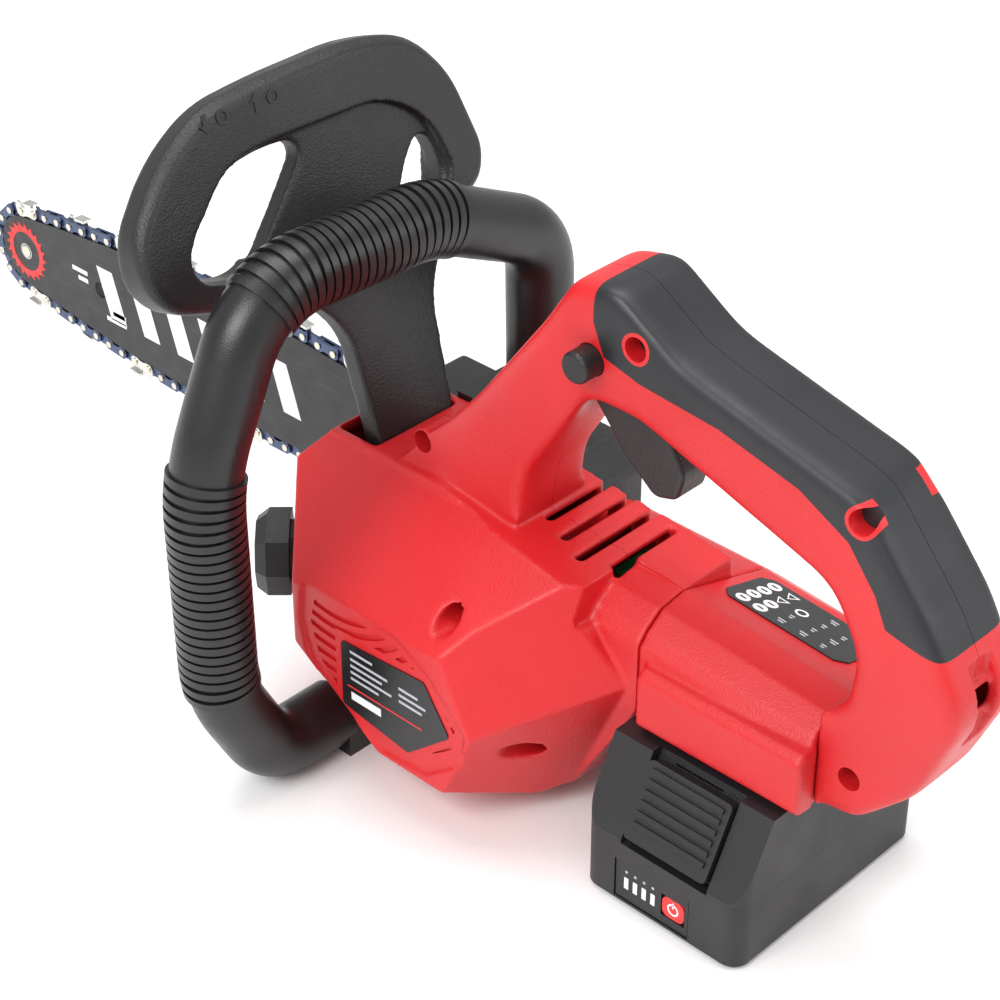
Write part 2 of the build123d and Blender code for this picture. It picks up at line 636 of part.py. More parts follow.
def vent_slots():
    """Cooling slots across the crown behind the handle leg, each stepped to the left of the last."""
    for k in range(VENT_COUNT):
        x, y = -60 - VENT_PITCH * k, -16.5 + 5 * k
        block(x - VENT_W / 2, x + VENT_W / 2, y - 22.5, y + 22.5, 92, 125, Mode.SUBTRACT)


ALL_X, ALL_Z = (-300, 100), (-10, 300)   # room that holds every part of the housings

# Outline of the hollow: the body in front of the barrel.
BODY_HOLLOW = BODY[:5] + [(-97, 110), (-97, 25)] + BODY[9:]

# Cord recess across the seam at the back of the handle, with two cross bars inside.
RECESS_HALF, RECESS_X = 6.0, -243.6
RECESS_Z = [(108, 117), (120, 129), (132, 141)]


def cord_recess():
    """Recess in the back of the handle."""
    block(-265, RECESS_X - 2.0, -RECESS_HALF, RECESS_HALF, RECESS_Z[0][0], RECESS_Z[-1][1], Mode.SUBTRACT)
    for z0, z1 in RECESS_Z:
        block(-265, RECESS_X, -RECESS_HALF, RECESS_HALF, z0, z1, Mode.SUBTRACT)


with BuildPart() as left_cavity:
    side_slab(BODY_HOLLOW, -1, BODY_LEFT - WALL, inset=WALL)
    add(barrel(BARREL_SEAM + WALL, -92, 0, 0, WALL))
    add(dome_solid(WALL))
    add(handle_slab(-1, HANDLE_HALF - HANDLE_CORE, HANDLE_CORE))
    block(*ALL_X, -80, -1, *ALL_Z, Mode.SUBTRACT)
    add(bosses(-1, 90), mode=Mode.SUBTRACT)

LOUVRE_X, LOUVRE_Z = -8.0, 118.0
LOUVRE_COUNT, LOUVRE_FIRST, LOUVRE_PITCH, LOUVRE_W = 12, 30.0, 6.5, 2.6

with BuildPart() as louvres:
    for k in reversed(range(LOUVRE_COUNT)):
        ring = LOUVRE_FIRST + LOUVRE_PITCH * k
        side_cylinder(LOUVRE_X, LOUVRE_Z, PANEL_Y - 8, PANEL_Y, ring + LOUVRE_W)
        side_cylinder(LOUVRE_X, LOUVRE_Z, PANEL_Y - 8, PANEL_Y, ring, Mode.SUBTRACT)
    side_slab(PANEL, PANEL_Y - 8, PANEL_Y, Mode.INTERSECT, inset=5)
    side_slab(LABEL, PANEL_Y - 8, PANEL_Y, Mode.SUBTRACT, inset=-3)

with BuildPart() as left_housing:
    side_slab(BODY, SPLIT_GAP, BODY_LEFT)
    add(dome_solid(0.0))
    add(handle_slab(SPLIT_GAP, HANDLE_HALF))
    with BuildSketch(Plane(origin=(-121, 0, 0), x_dir=(0, 1, 0), z_dir=(1, 0, 0))) as shoulder:
        with BuildLine():
            Polyline((0, 107.5), (12, 105.5), (20, 99.5), (24, 94.5), (32, 94.5), (32, 125), (0, 125),
                     close=True)
        make_face()
    extrude(shoulder.sketch, amount=24, mode=Mode.SUBTRACT)
    add(left_cavity.part, mode=Mode.SUBTRACT)
    add(LEFT_GRIP, mode=Mode.SUBTRACT)
    side_slab(PANEL, PANEL_Y - PANEL_DEPTH, PANEL_Y + 1, Mode.SUBTRACT, radius=4)
    for x, z, seat in SCREWS:
        side_cylinder(x, z, seat, 90, RECESS_R, Mode.SUBTRACT)
        side_cylinder(x, z, -1, seat + 1, SHANK_R + 0.3, Mode.SUBTRACT)
    block(*TRIGGER_SLOT, Mode.SUBTRACT)
    block(SLOT_X0, SLOT_X1, SLOT_Y0, SLOT_Y1, *SLOT_Z, Mode.SUBTRACT)
    vent_slots()
    cord_recess()
    add(louvres.part, mode=Mode.SUBTRACT)
    side_cylinder(-91, 198.5, 5, 30, 6.3, Mode.SUBTRACT)
    with BuildSketch(Plane(origin=FILLER, z_dir=FILLER_DIR)) as mouth:
        Circle(11.3)
    extrude(mouth.sketch, amount=6, both=True, mode=Mode.SUBTRACT)
    upright(HANDLE_X, HANDLE_SCREW_Y[1], 14, 22.5, SHANK_R + 0.1, Mode.SUBTRACT)
save(left_housing, "left_housing")

with BuildPart() as right_cavity:
    side_slab(BODY_HOLLOW, BODY_RIGHT + WALL, 1, inset=WALL)
    add(barrel(BARREL_SEAM + WALL, BARREL_FRONT - WALL, 0, 0, WALL))
    add(handle_slab(-HANDLE_HALF + HANDLE_CORE, 1, HANDLE_CORE))
    block(*ALL_X, 1, 80, *ALL_Z, Mode.SUBTRACT)
    add(bosses(-90, 1), mode=Mode.SUBTRACT)

with BuildPart() as right_housing:
    side_slab(BODY, BODY_RIGHT, -SPLIT_GAP)
    add(barrel(BARREL_SEAM, BARREL_FRONT, 0, 0))
    add(handle_slab(-HANDLE_HALF, -SPLIT_GAP))
    block(*ALL_X, -SPLIT_GAP, 80, *ALL_Z, Mode.SUBTRACT)
    add(right_cavity.part, mode=Mode.SUBTRACT)
    add(RIGHT_GRIP, mode=Mode.SUBTRACT)
    for x, z, _ in SCREWS:
        side_cylinder(x, z, -11.0, 1, SHANK_R - 0.1, Mode.SUBTRACT)
    block(*TRIGGER_SLOT, Mode.SUBTRACT)
    block(SLOT_X0, SLOT_X1, SLOT_Y0, SLOT_Y1, *SLOT_Z, Mode.SUBTRACT)
    vent_slots()
    cord_recess()
    side_cylinder(SPROCKET_X, BAR_Z, -40, -20, 8.5, Mode.SUBTRACT)
    block(26, 46, BAR_Y + BAR_T / 2, BODY_RIGHT, BAR_Z - 13, BAR_Z + 13)
    side_cylinder(STUD_X, BAR_Z, -40, -20, STUD_R + 0.05, Mode.SUBTRACT)
    side_cylinder(PIN_X, BAR_Z + PIN_Z, -40, -20, TENSION_R + 1.2, Mode.SUBTRACT)
    block(26, 47, -40, BODY_RIGHT + WALL - 0.2, BAR_Z + PIN_Z - 3, BAR_Z + PIN_Z + 3, Mode.SUBTRACT)
    upright(HANDLE_X, HANDLE_SCREW_Y[0], 14, 22.5, SHANK_R + 0.1, Mode.SUBTRACT)
save(right_housing, "right_housing")

with BuildPart() as housing_screws:
    for x, z, seat in SCREWS:
        side_cylinder(x, z, seat, seat + 2.4, HEAD_R)
        side_cylinder(x, z, -10.5, seat, SHANK_R - 0.1)
save(housing_screws, "housing_screws")

with BuildPart() as data_label:
    side_slab(LABEL, PANEL_Y - PANEL_DEPTH, PANEL_Y - PANEL_DEPTH + 0.5, radius=2)
save(data_label, "data_label")

# ---------- battery dock ----------
RAIL_X = (BATTERY_X0 + BATTERY_X1) / 2
RAIL_NECK, RAIL_WIDE = 14.5, 18.5
RAIL_Y0, RAIL_Y1 = -55.0, 19.0

with BuildPart() as battery_dock:
    add(barrel(BARREL_REAR, BARREL_SEAM - 2 * SPLIT_GAP, CROWN_DROP, 0))
    block(-199, -126, 20, 30.5, 63.4, 90)
    chamfer(battery_dock.edges().filter_by(Axis.X).sort_by(Axis.Y)[-2:], 3)
    add(barrel(BARREL_REAR + WALL, BARREL_SEAM - WALL, CROWN_DROP, 0, WALL), mode=Mode.SUBTRACT)
    block(RAIL_X - RAIL_NECK, RAIL_X + RAIL_NECK, RAIL_Y0, RAIL_Y1, 56.7, 64)
    block(RAIL_X - RAIL_WIDE, RAIL_X + RAIL_WIDE, RAIL_Y0, RAIL_Y1, 51.6, 56.7)
    block(RAIL_X - 13, RAIL_X + 13, 9, 25, 52.6, 66, Mode.SUBTRACT)
save(battery_dock, "battery_dock")

# The label is what stands above the sloping crown of a thin slab laid through it.
with BuildPart() as label_slab:
    slope = Plane(origin=(-155, -27, 95.6), x_dir=(1, 0, CROWN_DROP / 76), z_dir=(-0.081, -0.295, 0.952))
    with BuildSketch(slope) as sticker:
        Rectangle(56, 30)
        chamfer(sticker.vertices(), 4)
    extrude(sticker.sketch, amount=1.2, both=True)
    add(battery_dock.part, mode=Mode.SUBTRACT)
with BuildPart() as icon_label:
    add(label_slab.solids().sort_by(Axis.Z)[-1])
save(icon_label, "icon_label")

with BuildPart() as dock_terminal_block:
    block(RAIL_X - 12.8, RAIL_X + 12.8, 9.2, 18.8, 52.8, 64)
    for k in range(4):
        x = RAIL_X - 9 + 6 * k
        block(x - 0.4, x + 0.4, 18.0, 28.0, 53.4, 57.4)
save(dock_terminal_block, "dock_terminal_block")

# ---------- battery ----------
CELL_COLUMNS = 5
BAY_X = (-188.9, -124.1)     # hollow of the pack along X
BAY_Y0 = -52.5
CELL_GAP = 0.4


def battery_slab(points, x0, x1, mode=Mode.ADD):
    """Extrude a (Y, Z) outline along X."""
    with BuildSketch(Plane(origin=(x0, 0, 0), x_dir=(0, 1, 0), z_dir=(1, 0, 0))) as end:
        with BuildLine():
            Polyline(*points, close=True)
        make_face()
    extrude(end.sketch, amount=x1 - x0, mode=mode)


LATCH_TOP, LATCH_FOOT = (34.0, 61.0), (49.3, 31.5)
latch_slope = math.atan2(LATCH_TOP[1] - LATCH_FOOT[1], LATCH_FOOT[0] - LATCH_TOP[0])
LATCH_X = RAIL_X - 1.5
LATCH_PLANE = Plane(
    origin=(LATCH_X, (LATCH_TOP[0] + LATCH_FOOT[0]) / 2, (LATCH_TOP[1] + LATCH_FOOT[1]) / 2),
    x_dir=(-1, 0, 0),
    z_dir=(0, math.sin(latch_slope), math.cos(latch_slope)))
CELL_Y = [-43.0 + 18.2 * k for k in range(CELL_COLUMNS)]
CELL_Z = [13.0, 31.2]

with BuildPart() as battery_case_lower:
    block(BATTERY_X0, BATTERY_X1, BATTERY_Y0, BATTERY_Y1, 0, BATTERY_SEAM_Z)
    fillet(battery_case_lower.edges().filter_by(Axis.Z), 7)
    chamfer(battery_case_lower.faces().sort_by(Axis.Z)[0].edges(), 2)
    block(*BAY_X, BAY_Y0, 42.8, 3.5, BATTERY_SEAM_Z + 1, Mode.SUBTRACT)
    block(-170.5, -135.5, 40, 60, 3, 21, Mode.SUBTRACT)
save(battery_case_lower, "battery_case_lower")

with BuildPart() as battery_case_upper:
    lid = [(BATTERY_Y0, 29.1), (BATTERY_Y0, BATTERY_TOP), (33.6, BATTERY_TOP), (50, 30.4), (50, 29.1)]
    battery_slab(lid, BATTERY_X0, BATTERY_X1)
    fillet(battery_case_upper.edges().filter_by(Axis.Z), 7)
    block(*BAY_X, BAY_Y0, CELL_Y[-1], 28, CELL_Z[-1] + CELL_R + CELL_GAP, Mode.SUBTRACT)
    block(*BAY_X, BAY_Y0, CELL_Y[-1] + CELL_R + CELL_GAP, 28, CELL_Z[-1], Mode.SUBTRACT)
    along_rod(*BAY_X, CELL_Y[-1], CELL_Z[-1], CELL_R + CELL_GAP, Mode.SUBTRACT)
    block(RAIL_X - RAIL_NECK - 0.5, RAIL_X + RAIL_NECK + 0.5, -60, RAIL_Y1 + 0.8, 56, 70, Mode.SUBTRACT)
    block(RAIL_X - RAIL_WIDE - 0.5, RAIL_X + RAIL_WIDE + 0.5, -60, RAIL_Y1 + 0.8, 51, 57.2, Mode.SUBTRACT)
    block(RAIL_X - 11, RAIL_X + 11, 12, 30, 52.4, 58.4, Mode.SUBTRACT)
    with BuildSketch(LATCH_PLANE.offset(-5)) as pocket:
        Rectangle(40, 39)
    extrude(pocket.sketch, amount=12, mode=Mode.SUBTRACT)
save(battery_case_upper, "battery_case_upper")

with BuildPart() as battery_cells:
    for y in CELL_Y:
        for z in CELL_Z:
            along_rod(RAIL_X - CELL_L / 2, RAIL_X + CELL_L / 2, y, z, CELL_R)
save(battery_cells, "battery_cells")

with BuildPart() as battery_contacts:
    for k in range(4):
        x = RAIL_X - 9 + 6 * k
        block(x - 1.6, x - 0.7, 21, 29, 52.5, 57.5)
        block(x + 0.7, x + 1.6, 21, 29, 52.5, 57.5)
save(battery_contacts, "battery_contacts")

with BuildPart() as battery_latch:
    with BuildSketch(LATCH_PLANE.offset(-2.6)) as plate:
        RectangleRounded(38, 31, 2)
    extrude(plate.sketch, amount=4.6)
    for k in range(6):
        with BuildSketch(LATCH_PLANE.offset(1.9)) as rib:
            with Locations((0, -9 + 4.2 * k)):
                Rectangle(33, 2)
        extrude(rib.sketch, amount=1.1)
save(battery_latch, "battery_latch")

with BuildPart() as gauge_panel:
    block(-170, -136, 46.1, 49.6, 3.5, 20.5)
    block(-168.5, -157.5, 44, 52, 7, 17, Mode.SUBTRACT)
save(gauge_panel, "gauge_panel")

with BuildPart() as gauge_button:
    block(-168.1, -157.9, 44.6, 49.4, 7.4, 16.6)
    fillet(gauge_button.edges().filter_by(Axis.Y), 3)
save(gauge_button, "gauge_button")


def spring_rings(plane, radius, wire, count, pitch):
    """Compression spring as rings joined by two posts, so that it is one closed solid."""
    with BuildPart() as spring:
        for k in range(count):
            with BuildSketch(plane.offset(pitch * k)) as ring:
                Circle(radius)
                Circle(radius - wire, mode=Mode.SUBTRACT)
            extrude(ring.sketch, amount=wire)
        with BuildSketch(plane) as post:
            with Locations((radius - wire / 2, 0), (wire / 2 - radius, 0)):
                Rectangle(wire, wire)
        extrude(post.sketch, amount=pitch * (count - 1) + wire)
    return spring


LATCH_SPRING_PLANE = Plane(origin=LATCH_PLANE.from_local_coords((0, 0, -4.6)), x_dir=(1, 0, 0),
                           z_dir=LATCH_PLANE.z_dir)
save(spring_rings(LATCH_SPRING_PLANE, 5.0, 0.6, 3, 0.65), "latch_spring")

# ---------- bar clamp and sprocket cover ----------
COVER = [(52, 106), (48, 111), (-38, 111), (-50, 100), (-50, 48), (-40, 37), (48, 37), (52, 42)]
COVER_Y0, COVER_WALL = -61.0, 2.5

with BuildPart() as sprocket_cover:
    side_slab(COVER, COVER_Y0, BODY_RIGHT - 0.2, radius=4)
    fillet(sprocket_cover.faces().sort_by(Axis.Y)[0].edges(), 2)
    side_slab(COVER, COVER_Y0 + COVER_WALL, 0, Mode.SUBTRACT, inset=COVER_WALL)
    block(40, 60, COVER_Y0 + COVER_WALL, 0, 41, 107.5, Mode.SUBTRACT)
    side_cylinder(STUD_X, BAR_Z, COVER_Y0, BAR_Y - BAR_T / 2, 9.0)
    side_cylinder(STUD_X, BAR_Z, COVER_Y0 - 1, 0, STUD_R + 0.1, Mode.SUBTRACT)
save(sprocket_cover, "sprocket_cover")

with BuildPart() as bar_stud:
    side_cylinder(STUD_X, BAR_Z, -66, BODY_RIGHT + WALL, STUD_R)
save(bar_stud, "bar_stud")

KNOB_Y0, KNOB_Y1 = -68.5, -61.1
with BuildPart() as cover_knob:
    side_cylinder(STUD_X, BAR_Z, KNOB_Y0, KNOB_Y1, 15.0)
    with BuildSketch(side_plane(KNOB_Y0)) as lobes:
        with Locations((-STUD_X, BAR_Z)):
            with PolarLocations(17.5, 8):
                Circle(4.0)
    extrude(lobes.sketch, amount=KNOB_Y1 - KNOB_Y0, mode=Mode.SUBTRACT)
    fillet(cover_knob.faces().sort_by(Axis.Y)[0].edges(), 1)
    side_cylinder(STUD_X, BAR_Z, -66.1, KNOB_Y1 + 1, STUD_R + 0.05, Mode.SUBTRACT)
save(cover_knob, "cover_knob")

TENSION_Y = BAR_Y + BAR_T / 2 + 3.0
with BuildPart() as tension_screw:
    along_rod(28, 54, TENSION_Y + 0.6, BAR_Z + PIN_Z, 1.6)
    along_rod(51, 54, TENSION_Y + 0.6, BAR_Z + PIN_Z, 2.6)
save(tension_screw, "tension_screw")

with BuildPart() as tension_pin:
    side_cylinder(PIN_X, BAR_Z + PIN_Z, BAR_Y - BAR_T / 2 - 1, TENSION_Y - 1.2, TENSION_R)
save(tension_pin, "tension_pin")

# ---------- front handle ----------
HANDLE_LINE = [(-62, 113), (-61, 182), (0, 211), (84, 213), (113, 150), (112, 55), (90, 13.6), (56, 13.6)]
HANDLE_BENDS = [26, 60, 36, 80, 60, 22]
RIB_PITCH, RIB_W = 4.1, 3.0
BRACKET_HALF = 13.0        # half width of the bracket and the foot
BRACKET_Z = (111.4, 119.0)
FOOT_TOP = 14.8


def ribbed(point):
    """Whether the tube carries grip rings here: along the top run and along the left run."""
    top_run = point.Z > 195 and -12 < point.Y < 82
    left_run = point.Y > 95 and 61 < point.Z < 153
    return top_run or left_run


with BuildPart() as front_handle:
    with BuildLine(Plane(origin=(HANDLE_X, 0, 0), x_dir=(0, 1, 0), z_dir=(1, 0, 0))) as centreline:
        FilletPolyline(*HANDLE_LINE, radius=HANDLE_BENDS)
    route = centreline.wires()[0]
    with BuildSketch(Plane(origin=route @ 0, x_dir=(1, 0, 0), z_dir=route % 0)) as tube:
        Circle(TUBE_R)
    sweep(tube.sketch, path=route)
    for k in range(int(route.length / RIB_PITCH)):
        share = k * RIB_PITCH / route.length
        if ribbed(route @ share):
            with BuildSketch(Plane(origin=route @ share, x_dir=(1, 0, 0), z_dir=route % share)) as rib:
                Circle(RIB_R)
            extrude(rib.sketch, amount=RIB_W)
    block(HANDLE_X - BRACKET_HALF, HANDLE_X + BRACKET_HALF, -76, BODY_RIGHT - 0.2, *BRACKET_Z)
    block(HANDLE_X - BRACKET_HALF, HANDLE_X + BRACKET_HALF, -22, 60, 0, FOOT_TOP)
    block(-30, 60, -80, 130, -20, 0, Mode.SUBTRACT)
    for y in HANDLE_SCREW_Y:
        upright(HANDLE_X, y, -1, 6, HEAD_R + 0.3, Mode.SUBTRACT)
        upright(HANDLE_X, y, 5, 16, SHANK_R + 0.2, Mode.SUBTRACT)
save(front_handle, "front_handle")

with BuildPart() as handle_screws:
    for y in HANDLE_SCREW_Y:
        upright(HANDLE_X, y, 3, 6, HEAD_R)
        upright(HANDLE_X, y, 6, 22, SHANK_R)
save(handle_screws, "handle_screws")

# ---------- hand guard ----------
LEAN = math.hypot(1, GUARD_LEAN)
GUARD_OUTER = [
    (-13, 261), (-41, 255), (-57, 238), (-66, 206), (-61, 194), (-36, 176), (-26, 160), (-22, 100.5),
    (17, 100.5), (18, 160), (30, 176), (66, 187), (95, 196), (104, 208), (102, 225), (84, 245), (60, 258),
    (32, 260),
]
FOOT_CORNERS = (7, 8)
WINDOW_LEFT = [(15, 238), (39, 240), (58, 237), (79, 219), (82, 211), (77, 204), (55, 199), (34, 219)]
WINDOW_RIGHT = [(-39, 226), (-45, 208), (-41, 197), (-19, 199), (-26, 213)]
RIM_OUTER = GUARD_OUTER[:5] + [(-30, 184), (10, 177)] + GUARD_OUTER[10:]
RIM_INNER = [
    (-20, 241), (-40, 228), (-47, 206), (-40, 196), (14, 190), (56, 198), (79, 204), (83, 212), (79, 220),
    (58, 239), (39, 242),
]
BEND_SHARE, BEND_LIMIT = 0.46, 120.0


def soft_bends(points, sharp=()):
    """Corner radii that use most of each side of a closed outline; the sharp corners get 1 mm."""
    bends = []
    for i, corner in enumerate(points):
        before, after = points[i - 1], points[(i + 1) % len(points)]
        turn = math.atan2(after[1] - corner[1], after[0] - corner[0])
        turn -= math.atan2(corner[1] - before[1], corner[0] - before[0])
        turn = abs((turn + math.pi) % (2 * math.pi) - math.pi)
        reach = BEND_SHARE * min(math.dist(before, corner), math.dist(corner, after))
        bends.append(1.0 if i in sharp else min(BEND_LIMIT, reach / math.tan(turn / 2)))
    return bends


def guard_plane(forward):
    """Plane parallel to the leaning guard: local x is Y, local y climbs the guard."""
    return Plane(
        origin=(GUARD_FOOT_X + forward * LEAN, 0, 0), x_dir=(0, 1, 0),
        z_dir=(1 / LEAN, 0, -GUARD_LEAN / LEAN))


def guard_slab(points, back, front, mode=Mode.ADD, sharp=()):
    """Extrude an outline given by (Y, height) points between two depths of the guard."""
    local = [(y, z * LEAN) for y, z in points]
    with BuildSketch(guard_plane(back)) as outline:
        with BuildLine():
            FilletPolyline(*local, radius=soft_bends(local, sharp), close=True)
        make_face()
    extrude(outline.sketch, amount=front - back, mode=mode)


with BuildPart() as rim:
    guard_slab(RIM_OUTER, -GUARD_RIM_T / 2, GUARD_RIM_T / 2)
    chamfer(rim.faces().filter_by(guard_plane(0)).edges(), 2.5)

with BuildPart() as hand_guard:
    guard_slab(GUARD_OUTER, -GUARD_T / 2, GUARD_T / 2, sharp=FOOT_CORNERS)
    add(rim.part)
    guard_slab(RIM_INNER, -GUARD_RIM_T, -GUARD_T / 2, Mode.SUBTRACT)
    guard_slab(RIM_INNER, GUARD_T / 2, GUARD_RIM_T, Mode.SUBTRACT)
    for window in (WINDOW_LEFT, WINDOW_RIGHT):
        guard_slab(window, -GUARD_RIM_T, GUARD_RIM_T, Mode.SUBTRACT)
    side_cylinder(PIVOT_X, PIVOT_Z, -40, 40, 3.1, Mode.SUBTRACT)
save(hand_guard, "hand_guard")

with BuildPart() as guard_pivot_pin:
    side_cylinder(PIVOT_X, PIVOT_Z, BODY_RIGHT + WALL + 0.1, BODY_LEFT - WALL - 0.1, 3.05)
save(guard_pivot_pin, "guard_pivot_pin")

with BuildPart() as brake_switch:
    block(28, 38, -15, -3, 90, 101)
    block(30, 31, -13, -5, 101, 102.5)
save(brake_switch, "brake_switch")

# ---------- trigger and lock-off ----------
TRIGGER_PIVOT = (-85.0, 187.0)
TRIGGER = [
    (-81, 191), (-82, 176), (-98, 157), (-112, 146), (-122, 149), (-125, 160), (-117, 174), (-116, 191),
]
TRIGGER_BENDS = [4, 10, 20, 6, 5, 6, 8, 2]
TRIGGER_HALF = 8.0

with BuildPart() as trigger:
    with BuildSketch(side_plane(-TRIGGER_HALF)) as lever:
        with BuildLine():
            FilletPolyline(*side_points(TRIGGER), radius=TRIGGER_BENDS, close=True)
        make_face()
    extrude(lever.sketch, amount=2 * TRIGGER_HALF)
    fillet(trigger.edges().filter_by(Axis.Y, reverse=True).group_by(Axis.Y)[0], 2)
    fillet(trigger.edges().filter_by(Axis.Y, reverse=True).group_by(Axis.Y)[-1], 2)
    side_cylinder(*TRIGGER_PIVOT, -20, 20, 1.55, Mode.SUBTRACT)
save(trigger, "trigger")

with BuildPart() as trigger_pin:
    side_cylinder(*TRIGGER_PIVOT, -13.2, 13.2, 1.5)
save(trigger_pin, "trigger_pin")

with BuildPart() as power_switch:
    block(-104, -96.5, -8, 0.5, 200.5, 209)
    block(-102, -98, -3, 0, 199.5, 201)
save(power_switch, "power_switch")

TRIGGER_SPRING = Plane(origin=(-100, -3, 191.3), x_dir=(1, 0, 0), z_dir=(0, 0, 1))
save(spring_rings(TRIGGER_SPRING, 3.0, 0.6, 6, 1.5), "trigger_spring")

BUTTON = (-91.0, 198.5)
with BuildPart() as lock_off_button:
    side_cylinder(*BUTTON, 9.5, 28.0, 6.0)
    fillet(lock_off_button.faces().sort_by(Axis.Y)[-1].edges(), 1.5)
save(lock_off_button, "lock_off_button")

BUTTON_SPRING = Plane(origin=(BUTTON[0], 1.0, BUTTON[1]), x_dir=(1, 0, 0), z_dir=(0, 1, 0))
save(spring_rings(BUTTON_SPRING, 4.0, 0.6, 6, 1.5), "lock_off_spring")

# ---------- chain oiling ----------
NECK_R, NECK_BORE = 11.0, 8.6
FILLER_PLANE = Plane(origin=FILLER, z_dir=FILLER_DIR)


def filler_disc(depth, amount, radius, mode=Mode.ADD):
    """Cylinder on the filler axis; depth is measured outward from the housing facet."""
    with BuildSketch(FILLER_PLANE.offset(depth)) as disc:
        Circle(radius)
    extrude(disc.sketch, amount=amount, mode=mode)


with BuildPart() as oil_tank:
    block(12, 41, 2.5, 20.5, 30, 84)
    filler_disc(-36, 35.5, NECK_R)
    block(14, 39, 4.5, 18.5, 32, 82, Mode.SUBTRACT)
    filler_disc(-34, 40, NECK_BORE, Mode.SUBTRACT)
save(oil_tank, "oil_tank")

CAP_R = 17.6
with BuildPart() as oil_cap:
    filler_disc(-8, 8.6, NECK_BORE - 0.1)
    filler_disc(0.6, 1.9, 12.5)
    with BuildSketch(FILLER_PLANE.offset(2.4)) as octagon:
        RegularPolygon(CAP_R, 8)
    extrude(octagon.sketch, amount=9)
    with BuildSketch(FILLER_PLANE.offset(11.4)) as crown:
        RegularPolygon(CAP_R, 8)
    extrude(crown.sketch, amount=4.4, taper=35)
save(oil_cap, "oil_cap")

with BuildPart() as cap_seal:
    filler_disc(-0.4, 0.9, 10.8)
    filler_disc(-1, 3, NECK_BORE + 0.1, Mode.SUBTRACT)
save(cap_seal, "cap_seal")

with BuildPart() as oil_pump:
    block(24, 40, -24, -6, 30.5, 44)
    side_cylinder(28, 46, -22, -8, 4)
save(oil_pump, "oil_pump")

with BuildPart() as oil_hose:
    side_cylinder(32, 37, -5.9, 2.4, 2.5)
save(oil_hose, "oil_hose")

# ---------- electronics ----------
with BuildPart() as control_board:
    block(-114, -62, -48, -30, 70, 71.6)
    block(-110, -92, -46, -32, 71.6, 80)
    for k in range(3):
        block(-88 + 8 * k, -83 + 8 * k, -44, -34, 71.6, 77)
save(control_board, "control_board")

WIRE = [(-121, 200), (-150, 192), (-196, 177), (-222, 155), (-235, 126), (-228, 100)]
with BuildPart() as internal_wires:
    with BuildLine(side_plane(0)) as route:
        FilletPolyline(*side_points(WIRE), radius=[40, 30, 25, 20])
    start = route.wires()[0]
    with BuildSketch(Plane(origin=start @ 0, z_dir=start % 0)) as core:
        Circle(1.8)
    sweep(core.sketch, path=start)
save(internal_wires, "internal_wires")
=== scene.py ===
import bpy
import bmesh
import json
import math
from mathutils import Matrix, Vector


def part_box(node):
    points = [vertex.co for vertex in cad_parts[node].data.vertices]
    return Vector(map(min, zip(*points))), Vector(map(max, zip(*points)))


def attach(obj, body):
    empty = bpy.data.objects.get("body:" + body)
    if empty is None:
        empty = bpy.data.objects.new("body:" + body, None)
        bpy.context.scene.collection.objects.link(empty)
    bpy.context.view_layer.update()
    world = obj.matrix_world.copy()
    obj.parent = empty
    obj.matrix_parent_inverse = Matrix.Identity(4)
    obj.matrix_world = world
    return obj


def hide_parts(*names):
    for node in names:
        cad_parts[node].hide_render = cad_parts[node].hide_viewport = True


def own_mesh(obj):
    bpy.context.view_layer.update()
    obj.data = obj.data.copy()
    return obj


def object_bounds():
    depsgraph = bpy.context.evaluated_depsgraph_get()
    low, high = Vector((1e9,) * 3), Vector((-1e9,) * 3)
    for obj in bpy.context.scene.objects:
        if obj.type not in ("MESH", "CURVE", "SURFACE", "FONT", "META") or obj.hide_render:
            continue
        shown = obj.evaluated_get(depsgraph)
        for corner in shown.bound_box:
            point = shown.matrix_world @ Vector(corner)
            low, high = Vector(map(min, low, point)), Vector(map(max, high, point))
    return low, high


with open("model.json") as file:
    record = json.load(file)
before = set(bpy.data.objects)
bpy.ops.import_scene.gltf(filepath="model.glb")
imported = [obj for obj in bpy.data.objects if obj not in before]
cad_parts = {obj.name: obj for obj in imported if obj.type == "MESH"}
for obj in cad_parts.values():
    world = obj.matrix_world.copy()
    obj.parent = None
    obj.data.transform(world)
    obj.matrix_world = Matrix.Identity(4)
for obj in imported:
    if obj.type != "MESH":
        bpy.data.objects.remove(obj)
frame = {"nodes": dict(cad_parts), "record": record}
cad_low, cad_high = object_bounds()
nodes = frame["nodes"]

# ---------- places taken from the frame (metres) ----------
MM = 0.001
BAR_FACE_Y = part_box("guide_bar")[1][1]
RIVET_LOW, RIVET_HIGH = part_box("nose_rivet")
NOSE = ((RIVET_LOW[0] + RIVET_HIGH[0]) / 2, (RIVET_LOW[2] + RIVET_HIGH[2]) / 2)


